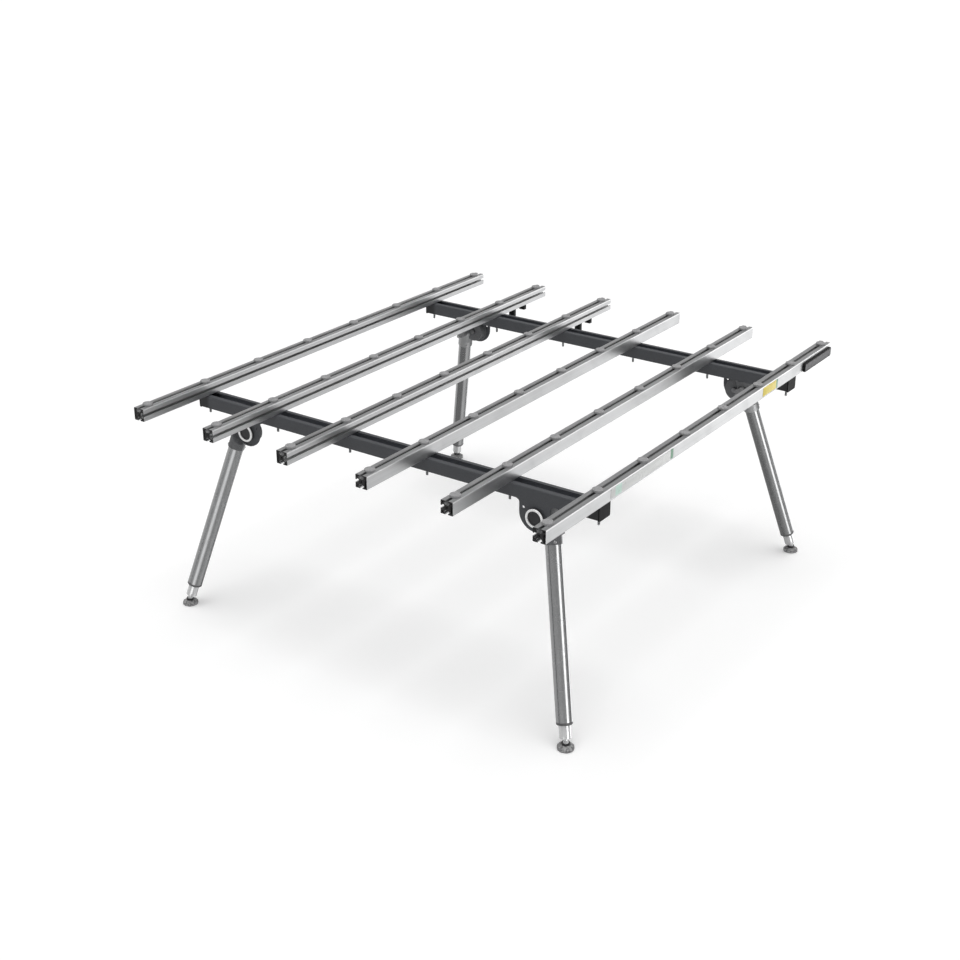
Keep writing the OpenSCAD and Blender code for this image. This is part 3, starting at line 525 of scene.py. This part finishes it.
# A chamfered tip, the thread, and a plain shank that ends inside the head
rod = skin(np.concatenate([
    ring(BOLT_R - 0.0013, bolt_low),
    ring(BOLT_R - 0.0004, bolt_low + 0.0007),
    threaded(BOLT_R, bolt_low + 0.001, thread_top, THREAD_PITCH, THREAD_DEPTH),
    ring(BOLT_R, thread_top + 0.0004),
    ring(BOLT_R, bolt_high - HAMMER_THICK / 2),
]))
hammer_low = bolt_high - HAMMER_THICK
hammer = rounded_slab(HAMMER_HALF_X, HAMMER_HALF_Y, hammer_low, bolt_high, 0.0025, 0.0005)
places = [(x, y, 0) for x in RAIL_X for y in (-BEAM_Y, BEAM_Y)]
bolts = piece("rail_bolt_threads", [repeat(rod, places), repeat(hammer, places)], "table", zinc)
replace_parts(bolts, "rail_bolts")
dress(zinc, "rail_washers", "rail_nuts")

# Pivot caps and rings
# A moulded black cap covers the head of each pivot bolt on the outside of a cheek. A ring is pressed round
# its face, and its near-white colour is a painted reflection that stands in for the shine of polished steel.

# Which way each corner of the table lies along X and Y
CORNERS = {"fl": (-1, -1), "fr": (1, -1), "rl": (-1, 1), "rr": (1, 1)}
# A ring's section is half an ellipse over a foot that stands in the cap's groove
RING_HALF, RING_RISE, RING_FOOT, RING_SEAT, RING_INSET = 0.0032, 0.0018, 0.0022, 0.0015, 0.0013

pivot_steel, tree, where = finish("pivot_steel", (0.30, 0.302, 0.305), 0.38, 1.0)
shade = noise(tree, where, 240.0, 4.0)
feed(
    tree,
    Base_Color=tinted(tree, shade, (0.20, 0.20, 0.205), (0.38, 0.385, 0.39)),
    Roughness=spread(tree, shade, 0.3, 0.7, 0.30, 0.46),
)
dress(pivot_steel, "pivot_bolts", "pivot_nuts")

cap_finish = moulding("cap_plastic", (0.028, 0.028, 0.030), 0.40, grains=1500.0, depth=0.00003, dust=0.04)
dress(cap_finish, "pivot_caps")

# Near white and barely metallic: a painted reflection of polished steel
ring_painted_reflection, tree, where = finish("polished_ring", (0.97, 0.97, 0.97), 0.25, 0.08)
fine = noise(tree, where, 260.0, 5.0, 0.7)
feed(
    tree,
    Base_Color=tinted(tree, fine, (0.95, 0.95, 0.95), (0.99, 0.99, 0.99)),
    Roughness=spread(tree, fine, 0.3, 0.7, 0.18, 0.30),
)
ring_low, ring_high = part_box("pivot_rings")
PIVOT_X, PIVOT_Z = 0.543, (ring_low.z + ring_high.z) / 2
ring_mid = (ring_high.z - ring_low.z) / 2 - RING_INSET
section = np.concatenate([
    arc((0, 0), 1, 0, 180, 14) * (RING_HALF, RING_RISE) + (ring_mid, RING_FOOT),
    [(ring_mid - RING_HALF, 0), (ring_mid + RING_HALF, 0)],
])
band, quads, fans = turned(section, 96, loop=True)
rounds = []
for sx, sy in CORNERS.values():
    # Local Z of the lathe points out of the cap
    out = sy * (ring_high.y - RING_SEAT + band[:, 2])
    rounds.append((np.stack([sx * PIVOT_X + band[:, 0], out, PIVOT_Z + band[:, 1]], axis=-1), quads, fans))
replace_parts(piece("round_rings", rounds, "table", ring_painted_reflection, 60), "pivot_rings")

# Leg sockets
# Aluminium castings, one for each leg: a hub that turns on the pivot bolt and a collar that holds the tube.
# They are sand blasted and coated in satin black over the casting's grain, and the collar's half towards the
# middle of the table is left bare and drawn bright, like the tube it holds.

foot_low, foot_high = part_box("foot_pad_rr")
FOOT_X, FOOT_Y = (foot_low.x + foot_high.x) / 2, (foot_low.y + foot_high.y) / 2
# A leg leans out along X and along Y, and its axis meets the middle of the foot's ball
LEAN_OUT, LEAN_SIDE = math.radians(14.2), math.radians(13)
BALL_Z = 0.019
# Up the leg at the rear right corner
UP_LEG = np.array([
    -math.cos(LEAN_SIDE) * math.sin(LEAN_OUT),
    -math.sin(LEAN_SIDE),
    math.cos(LEAN_SIDE) * math.cos(LEAN_OUT),
])
# The bare half fades out over these distances from the leg's axis, along X and along Y, and over these levels
BARE_X, BARE_Y, BARE_Z = (0.0255, 0.0280), (-0.004, 0.002), (0.602, 0.608)

socket_finish, tree, where = finish("socket_casting", (0.075, 0.077, 0.081), 0.45)
sand = noise(tree, where, 620.0, 4.0, 0.65)
lumps = noise(tree, where, 70.0, 2.0)
marks = use(tree, handling, where, Amount=0.5)
coated = tinted(tree, spread(tree, sand, 0.35, 0.65), (0.055, 0.057, 0.060), (0.175, 0.178, 0.185))
coated = tinted(tree, product(tree, marks["Scuff"], 0.5), coated, (0.45, 0.45, 0.45))
cast = {"Strength": 0.7, "Distance": 0.00012, "Height": plus(tree, sand, lumps, 1.6)}
east, north, level = split(tree, where)
drop = sums(tree, "SUBTRACT", level, BALL_Z)
axis_x = plus(tree, FOOT_X, drop, UP_LEG[0] / UP_LEG[2])
axis_y = plus(tree, FOOT_Y, drop, UP_LEG[1] / UP_LEG[2])
off_x = sums(tree, "SUBTRACT", sums(tree, "ABSOLUTE", east), axis_x)
off_y = sums(tree, "SUBTRACT", sums(tree, "ABSOLUTE", north), axis_y)
bare = product(
    tree,
    fading(tree, sums(tree, "ABSOLUTE", off_x), *BARE_X),
    fading(tree, off_y, *BARE_Y),
    fading(tree, level, *BARE_Z),
)
feed(
    tree,
    Base_Color=tinted(tree, bare, coated, (0.56, 0.565, 0.57)),
    Metallic=product(tree, bare, 0.9),
    Roughness=plus(tree, 0.48, marks["Smudge"], -0.12),
    Normal=put(tree, "Bump", cast).outputs["Normal"],
)

# The hub has a wider rim next to the cheek, which closes the clamp slot from behind. It is a block swept
# round the pivot, left open where the clamp bolt passes through the casting
RIM_IN, RIM_OUT, RIM_EASE, RIM_THICK, CHEEK_GAP = 0.0355, 0.0419, 0.0008, 0.0060, 0.0003
RIM_START, RIM_END = 25, 335
cheek_inside = -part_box("front_beam")[0].y - SHEET
a = np.radians(np.linspace(RIM_START, RIM_END, 94))[:, None]
rim_r = np.array([RIM_IN, RIM_OUT - RIM_EASE, RIM_OUT, RIM_OUT, RIM_IN])
rim_in = CHEEK_GAP + np.array([RIM_THICK, RIM_THICK, RIM_THICK - RIM_EASE, 0, 0])
for corner, (sx, sy) in CORNERS.items():
    x, z = sx * (PIVOT_X + rim_r * np.cos(a)), PIVOT_Z + rim_r * np.sin(a)
    rim = skin(np.stack([x, sy * (cheek_inside - rim_in) + 0 * x, z], axis=-1))
    piece("hub_rim_" + corner, [rim], "leg_" + corner, socket_finish)
    dress(socket_finish, "leg_socket_" + corner)

# Leg tubes
# Drawn aluminium tubes with four shallow grooves along their length, fixed to the collars by pop rivets.
# The drawn lines are turned to run up and down.

rivet_finish, tree, where = finish("rivet_steel", (0.62, 0.62, 0.63), 0.28, 1.0)
fine = noise(tree, where, 800.0, 4.0)
feed(
    tree,
    Base_Color=tinted(tree, fine, (0.54, 0.54, 0.55), (0.70, 0.70, 0.71)),
    Roughness=spread(tree, fine, 0.3, 0.7, 0.2, 0.36),
)

upright = (math.pi / 2, 0, 0)
tube_finish = drawn_aluminium("leg_aluminium", (0.55, 0.555, 0.56), 0.20, upright, 900.0, 0.000012)[0]
for corner in CORNERS:
    dress(tube_finish, "leg_tube_" + corner)
    dress(rivet_finish, "leg_rivets_" + corner)

# Leg plugs and sleeves
# A black plug closes the foot of each tube and guides a chromed steel sleeve, which slides out to level the
# table. A chromed skirt, pressed onto the sleeve, carries it on down over its neck.

# Heights count from the middle of the ball. The skirt's upper bore fits round the sleeve's end and laps it
SKIRT_R, SKIRT_BORE, SKIRT_LOW, SKIRT_ROUND = 0.0171, 0.0130, 0.0140, 0.0020
FIT_R, SLEEVE_END, LAP = 0.01702, 0.0270, 0.0024

plug_finish = moulding("plug_plastic", (0.10, 0.10, 0.103), 0.5, grains=1300.0, depth=0.00004)
chrome, tree, where = finish("chromed_steel", (0.90, 0.905, 0.91), 0.12, 0.62)
marks = use(tree, handling, where, Amount=0.6)
polish = spread(tree, noise(tree, where, 340.0, 4.0), 0.3, 0.7, 0.08, 0.17)
feed(tree, Roughness=plus(tree, polish, marks["Smudge"], 0.15))
skirt = np.concatenate([
    [(SKIRT_BORE, SKIRT_LOW + 0.0006)],
    arc((SKIRT_R - SKIRT_ROUND, SKIRT_LOW + SKIRT_ROUND), SKIRT_ROUND, -90, 0),
    [(SKIRT_R, SLEEVE_END + LAP), (FIT_R, SLEEVE_END + LAP)],
    [(FIT_R, SLEEVE_END - 0.0001), (SKIRT_BORE, SLEEVE_END - 0.0001)],
])
band, quads, fans = turned(skirt, 48, loop=True)
# The lathe's Z is laid along the rear right leg, and its X and Y square to it
across = np.cross((0, 1, 0), UP_LEG)
across /= np.linalg.norm(across)
placed = band @ np.stack([across, np.cross(UP_LEG, across), UP_LEG]) + (FOOT_X, FOOT_Y, BALL_Z)
for corner, (sx, sy) in CORNERS.items():
    dress(plug_finish, "leg_plug_" + corner)
    dress(chrome, "foot_sleeve_" + corner)
    around = placed * (sx, sy, 1), quads, fans
    piece("sleeve_skirt_" + corner, [around], "sleeve_" + corner, chrome)

# Feet
# Each leg stands on a ball foot: a dark cup that snaps over the ball, in a moulded rubber dome with
# scallops round its rim and a groove from each scallop up to the cup.

FOOT_R, FOOT_RIM, FOOT_TOP, CUP_R = 0.025, 0.011, foot_high.z, 0.01205
EDGE_ROUND = 0.0025
SCALLOPS, SCALLOP_SHARE, SCALLOP_POWER = 10, 0.085, 2.2
# The scallops die out at the first radius. The grooves begin at the second and are full one run further out
SCALLOP_END, GROOVE_START, GROOVE_RUN, GROOVE_DEEP = 0.0125, 0.0128, 0.004, 0.0011

foot_rubber = moulding("foot_rubber", (0.15, 0.15, 0.153), 0.6, grains=1000.0, dust=0.12, worn=0.6)
# Scuffs have left the rubber blotched
tree = foot_rubber.node_tree
blotch = noise(tree, put(tree, "TexCoord").outputs["Object"], 170.0, 3.0)
blotch = spread(tree, blotch, 0.42, 0.60, 0.0, 0.70)
feed(tree, Base_Color=tinted(tree, blotch, feeding(tree, "Base Color"), (0.50, 0.50, 0.50)))
# The dome rises from the rim to the cup like a quarter of a sine wave
dome_r = np.linspace(0.0205, 0.0132, 7)
dome_z = FOOT_RIM + (FOOT_TOP - FOOT_RIM) * np.sin(np.linspace(0.12, 1.5, 7))
dome = np.concatenate([
    [(FOOT_R - EDGE_ROUND - 0.001, 0.0)],
    arc((FOOT_R - EDGE_ROUND, EDGE_ROUND), EDGE_ROUND, -90, 0, 5),
    [(FOOT_R, 0.005), (FOOT_R, FOOT_RIM - 0.003)],
    arc((FOOT_R - EDGE_ROUND, FOOT_RIM - EDGE_ROUND), EDGE_ROUND, 10, 80),
    np.stack([dome_r, dome_z], -1),
    [(CUP_R, FOOT_TOP - 0.0003), (CUP_R, 0.0052)],
])
steps = SCALLOPS * 12
a = np.linspace(0, 2 * np.pi, steps, endpoint=False)
# A scallop is a narrow valley where the cosine of ten times the angle is near one, deepest at the rim
valley = np.clip(np.cos(SCALLOPS * a), 0, 1) ** SCALLOP_POWER
share = np.clip((dome[:, 0] - SCALLOP_END) / (FOOT_R - SCALLOP_END), 0, 1)
share *= np.clip(dome[:, 1] / 0.003, 0.35, 1)
rings = turned(dome, steps, 1 - SCALLOP_SHARE * share[:, None] * valley)
# The fans' two middle points stay where they are
spots = rings[0][:-2]
groove = np.clip((np.hypot(spots[:, 0], spots[:, 1]) - GROOVE_START) / GROOVE_RUN, 0, 1)
spots[:, 2] -= GROOVE_DEEP * groove * np.tile(valley, len(dome)) * (spots[:, 2] > FOOT_RIM - 0.0015)
cup_finish = moulding("cup_plastic", (0.018, 0.018, 0.019), 0.35, grains=1500.0, depth=0.00003, dust=0.05)
for corner, (sx, sy) in CORNERS.items():
    foot = repeat(rings, (sx * FOOT_X, sy * FOOT_Y, 0))
    foot = piece("foot_dome_" + corner, [foot], "foot_" + corner, foot_rubber)
    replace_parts(foot, "foot_pad_" + corner)
    dress(cup_finish, "foot_cup_" + corner)

# Clamp knobs
# Six-lobed black knobs on the inner side of each socket, moulded round a brass thread. Turning one
# pulls its bolt through the curved slot and grips the cheek.

LOBES, VALLEY_SHARE, HUB_R = 6, 0.22, 0.0125
BACK_ROUND, FRONT_ROUND = 0.0025, 0.0045
knob_finish = moulding("knob_plastic", (0.15, 0.15, 0.153), 0.42, grains=1600.0, depth=0.00003, dust=0.05)
knob_low, knob_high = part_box("clamp_knob_rr")
KNOB_X, KNOB_Z = (knob_low.x + knob_high.x) / 2, (knob_low.z + knob_high.z) / 2
seat, thick = knob_high.y, knob_high.y - knob_low.y
knob_r = (knob_high.x - knob_low.x) / 2
# From the seat: the hub, the rounded back and front of the lobes, and the recess in the face
grip = np.concatenate([
    [(0.0105, 0.0), (0.0105, 0.0032), (0.0150, 0.0036)],
    arc((knob_r - BACK_ROUND, 0.0062), BACK_ROUND, -80, 0),
    arc((knob_r - FRONT_ROUND, thick - 0.0050), FRONT_ROUND, 0, 78, 8),
    [(0.0118, thick - 0.0002), (0.0110, thick - 0.0009), (0.0074, thick - 0.0016), (0.0070, thick - 0.0030)],
])
a = np.linspace(0, 2 * np.pi, LOBES * 14, endpoint=False)
# The radius falls by about a fifth in a rounded valley between lobes, and by less towards the hub
valley = np.abs(np.cos(LOBES * a / 2)) ** 4
share = np.clip((grip[:, 0] - HUB_R) / (knob_r - HUB_R), 0, 1)
knob, quads, fans = turned(grip, LOBES * 14, 1 - VALLEY_SHARE * share[:, None] * valley)
for corner, (sx, sy) in CORNERS.items():
    # Local Z of the lathe points to the middle of the table, so y = side times (seat - height)
    points = np.stack([sx * KNOB_X + knob[:, 0], sy * (seat - knob[:, 2]), KNOB_Z + knob[:, 1]], axis=-1)
    shape = points, quads, fans
    made = piece("clamp_grip_" + corner, [shape], "knob_" + corner, knob_finish)
    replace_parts(made, "clamp_knob_" + corner)
    dress(zinc, "clamp_bolt_" + corner)

# Side grip
# A black moulded frame screwed to the outer face of the last rail, rounded at its ends, with a ribbed rubber
# insert for the hand. It hangs a little below the rail and ends just short of it.

GRIP_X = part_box("rail_6")[1].x
GRIP_START, GRIP_END, GRIP_MID = 0.679, 0.897, RAIL_TOP - 0.0270
GRIP_HALF, GRIP_THICK = 0.0155, 0.0075
# The frame's border along and across the insert, and how far the insert goes into the frame and stands out
BORDER_Y, BORDER_Z, SUNK, PROUD = 0.0050, 0.0045, 0.0010, 0.0014
RIB_STEP, RIB_DEEP, RIB_MARGIN, MARGIN_DEEP, RIB_EASE = 0.0065, 0.0010, 0.004, 0.0004, 0.0012
grip_finish = moulding("grip_rubber", (0.21, 0.21, 0.214), 0.66, grains=1400.0, dust=0.1)


def laid(shape, start, end, middle):
    """A rounded slab laid over on the rail's outer face, so that its thickness points along X."""
    points, quads, fans = shape
    along = (start + end) / 2 + points[:, 0]
    return np.stack([GRIP_X + points[:, 2], along, middle + points[:, 1]], axis=-1), quads, fans


slab = rounded_slab((GRIP_END - GRIP_START) / 2, GRIP_HALF, 0, GRIP_THICK, 0.0070, 0.0015)
slab = laid(slab, GRIP_START, GRIP_END, GRIP_MID)
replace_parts(piece("grip_frame", [slab], "table", black_moulding), "side_grip")

# Ribs run up and down: the face stands in by a rounded wave along Y, with a plain margin at either end
rib_start, rib_end = GRIP_START + BORDER_Y, GRIP_END - BORDER_Y
rib_back, rib_front = GRIP_X + GRIP_THICK - SUNK, GRIP_X + GRIP_THICK + PROUD
y = np.linspace(rib_start, rib_end, 561)
wave = np.abs(np.sin(np.pi * (y - rib_start) / RIB_STEP)) ** 0.7
plain = (y - rib_start < RIB_MARGIN) | (rib_end - y < RIB_MARGIN)
front = rib_front - np.where(plain, MARGIN_DEEP, RIB_DEEP * (1 - wave))
# A ring of the skin goes round the insert's section, as shares of its depth and height, with eased corners
rim = np.array([(0.0, 0.0), (1.0, 0.0), (1.0, 0.03), (1.0, 0.5), (1.0, 0.97), (1.0, 1.0), (0.0, 1.0)])
inset = np.array([0.0, RIB_EASE, 0.0, 0.0, 0.0, RIB_EASE, 0.0])
x = rib_back + rim[:, 0] * (front[:, None] - rib_back) - inset
z = GRIP_MID + (2 * rim[:, 1] - 1) * (GRIP_HALF - BORDER_Z)
ribs = skin(np.stack([x, np.broadcast_to(y[:, None], x.shape), np.broadcast_to(z, x.shape)], axis=-1))
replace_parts(piece("grip_ribs", [ribs], "table", grip_finish, 50), "grip_insert")

# Rail hooks
# Two black moulded hooks slide in the bottom slots of the second and third rails, behind the rear beam, and
# hold tools.

dress(black_moulding, "rail_hooks")

# Label plates
# Two bare plates on the outer face of the last rail: a white one with a pale green block and a dark green
# bar, and a yellow one with a green edge. They are printed film on thin aluminium, with no words on them.

PLATE_MID, PLATE_HALF, PLATE_THICK = RAIL_TOP - 0.0200, 0.0145, 0.0006
# Where the plates and their printed fields begin and end along Y
WHITE_START, WHITE_END, BLOCK_START, BLOCK_END, BAR_START = -0.580, -0.228, -0.556, -0.522, -0.244
YELLOW_START, YELLOW_END, EDGE_START = 0.371, 0.479, 0.468

plate_white, tree, where = finish("plate_white", (0.80, 0.81, 0.80), 0.32)
sheen = noise(tree, where, 45.0, 4.0)
marks = use(tree, handling, where, Amount=0.5)
# A pale block near the front end and a dark bar at the far end
along = split(tree, where)[1]
block = sums(tree, "GREATER_THAN", along, BLOCK_START)
block = product(tree, block, sums(tree, "LESS_THAN", along, BLOCK_END))
field = tinted(tree, sheen, (0.66, 0.67, 0.66), (0.74, 0.75, 0.74))
field = tinted(tree, block, field, (0.62, 0.80, 0.72))
field = tinted(tree, sums(tree, "GREATER_THAN", along, BAR_START), field, (0.02, 0.22, 0.09))
feed(
    tree,
    Base_Color=tinted(tree, product(tree, marks["Scuff"], 0.25), field, (0.5, 0.5, 0.5)),
    Roughness=spread(tree, sheen, 0.3, 0.7, 0.26, 0.40),
)

plate_yellow, tree, where = finish("plate_yellow", (0.80, 0.58, 0.05), 0.34)
sheen = noise(tree, where, 60.0, 4.0)
edge = sums(tree, "GREATER_THAN", split(tree, where)[1], EDGE_START)
field = tinted(tree, sheen, (0.84, 0.66, 0.09), (0.92, 0.76, 0.12))
feed(
    tree,
    Base_Color=tinted(tree, edge, field, (0.05, 0.30, 0.12)),
    Roughness=spread(tree, sheen, 0.3, 0.7, 0.28, 0.42),
)

for name, start, end, finished in (
    ("name_plate_bare", WHITE_START, WHITE_END, plate_white),
    ("notice_plate_bare", YELLOW_START, YELLOW_END, plate_yellow),
):
    slab = rounded_slab((end - start) / 2, PLATE_HALF, 0, PLATE_THICK, 0.0015, 0.0002)
    piece(name, [laid(slab, start, end, PLATE_MID)], "table", finished)

# Floor, light and camera
# A plain white floor under soft light: a broad overhead light, a low one from the right, and walls that
# are pale behind and at the left, grey in front and above. The camera stands where the photograph's did.

FLOOR_HALF, FLOOR_GLOW = 60, 0.15
floor_mesh = bpy.data.meshes.new("floor")
around = np.array([(-1, -1, 0), (1, -1, 0), (1, 1, 0), (-1, 1, 0)]) * FLOOR_HALF
floor_mesh.from_pydata(around.tolist(), [], [(0, 1, 2, 3)])
floor = bpy.data.objects.new("floor", floor_mesh)
bpy.context.scene.collection.objects.link(floor)
floor_white, tree = finish("floor_white", (0.92, 0.92, 0.92), 0.9)[:2]
paint = tree.nodes["Principled BSDF"]
paint.inputs["Specular IOR Level"].default_value = 0.0
paint.inputs["Emission Color"].default_value = (1, 1, 1, 1)
seen = put(tree, "LightPath").outputs
feed(tree, Emission_Strength=product(tree, seen["Is Camera Ray"], FLOOR_GLOW))
# Bright metal mirrors the walls' lower half in place of the floor
mirrored = put(tree, "MixShader", {0: seen["Is Glossy Ray"], 1: paint.outputs[0]})
tree.links.new(put(tree, "BsdfTransparent").outputs[0], mirrored.inputs[2])
tree.links.new(mirrored.outputs[0], tree.nodes["Material Output"].inputs["Surface"])
floor_mesh.materials.append(floor_white)

world = bpy.data.worlds.new("walls")
bpy.context.scene.world = world
world.use_nodes = True
tree = world.node_tree
x, y, rise = split(tree, put(tree, "TexCoord").outputs["Generated"])
bearing = product(tree, sums(tree, "ARCTAN2", x, product(tree, y, -1.0)), 180 / math.pi)


def between(value, low, high, soft):
    """A mask of one between two values and zero outside them, with soft edges."""
    rising = spread(tree, value, low - soft, low + soft)
    return product(tree, rising, fading(tree, value, high - soft, high + soft))


# Bearings in degrees, 0 in front of the table and 90 at its right, and heights as the sine of the rise. The
# walls' strengths: grey in front, paler round the left to the back, with a dimmer stretch behind the right
LEFT, FRONT, BACK, BACK_LEFT, DIMMER = 0.72, 0.42, 1.5, 0.30, -0.12
pale = spread(tree, bearing, -110, -40, LEFT, FRONT)
pale = sums(tree, "ADD", pale, spread(tree, bearing, 126, 160, 0.0, BACK))
pale = sums(tree, "ADD", pale, spread(tree, bearing, -165, -130, BACK_LEFT, 0.0))
pale = plus(tree, pale, between(bearing, 106, 134, 5), DIMMER)
# Darker above the eye and below the floor line, apart from a glow deep down at the right, with a tall
# light panel at the right and a low one in front
DARK, DEEP, PANEL, LOW_PANEL = 0.22, 0.5, 2.5, 0.9
# Each panel's bearings and heights, both with the softness of its edges
PANEL_WIDE, PANEL_TALL = (72, 94, 4), (-0.38, 0.25, 0.06)
LOW_WIDE, LOW_TALL = (-4, 40, 8), (-0.43, -0.14, 0.04)
wall = product(tree, fading(tree, rise, 0.12, 0.34), spread(tree, rise, -0.65, -0.45))
wall = sums(tree, "MULTIPLY_ADD", wall, sums(tree, "ADD", pale, -DARK), DARK)
deep = product(tree, between(bearing, 60, 150, 12), spread(tree, rise, -0.80, -0.55, DEEP, 0.0))
wall = sums(tree, "ADD", deep, wall)
low_panel = product(tree, between(bearing, *LOW_WIDE), between(rise, *LOW_TALL))
panel = product(tree, between(bearing, *PANEL_WIDE), between(rise, *PANEL_TALL))
wall = plus(tree, plus(tree, wall, low_panel, LOW_PANEL), panel, PANEL)
# The camera sees them plain white
straight = put(tree, "LightPath").outputs["Is Camera Ray"]
wall = sums(tree, "ADD", product(tree, wall, sums(tree, "SUBTRACT", 1.0, straight)), straight)
backdrop = tree.nodes["Background"]
tree.links.new(wall, backdrop.inputs["Strength"])
backdrop.inputs["Color"].default_value = (1, 1, 1, 1)


def soft_sun(name, strength, width, azimuth, elevation):
    """A distant soft light, as wide in the sky as given, from that bearing and height above the horizon,
    all in degrees. The bearing is 0 in front and 90 at the right."""
    light = bpy.data.lights.new(name, "SUN")
    light.energy = strength
    light.angle = math.radians(width)
    lamp = bpy.data.objects.new(name, light)
    lamp.rotation_euler = (math.radians(90 - elevation), 0, math.radians(azimuth))
    bpy.context.scene.collection.objects.link(lamp)


soft_sun("overhead", 1.75, 42, 35, 88)
soft_sun("ceiling", 0.5, 110, 35, 88)

lens = bpy.data.cameras.new("camera")
lens.lens = 55.57
lens.sensor_width = 36
lens.clip_start, lens.clip_end = 0.05, 200
camera = bpy.data.objects.new("camera", lens)
camera.location = (2.5422, -3.7566, PAD_TOP + 1.6338)
camera.rotation_euler = (math.radians(65.976), math.radians(-0.075), math.radians(35.047))
bpy.context.scene.collection.objects.link(camera)
bpy.context.scene.camera = camera
bpy.context.scene.view_settings.view_transform = "Standard"
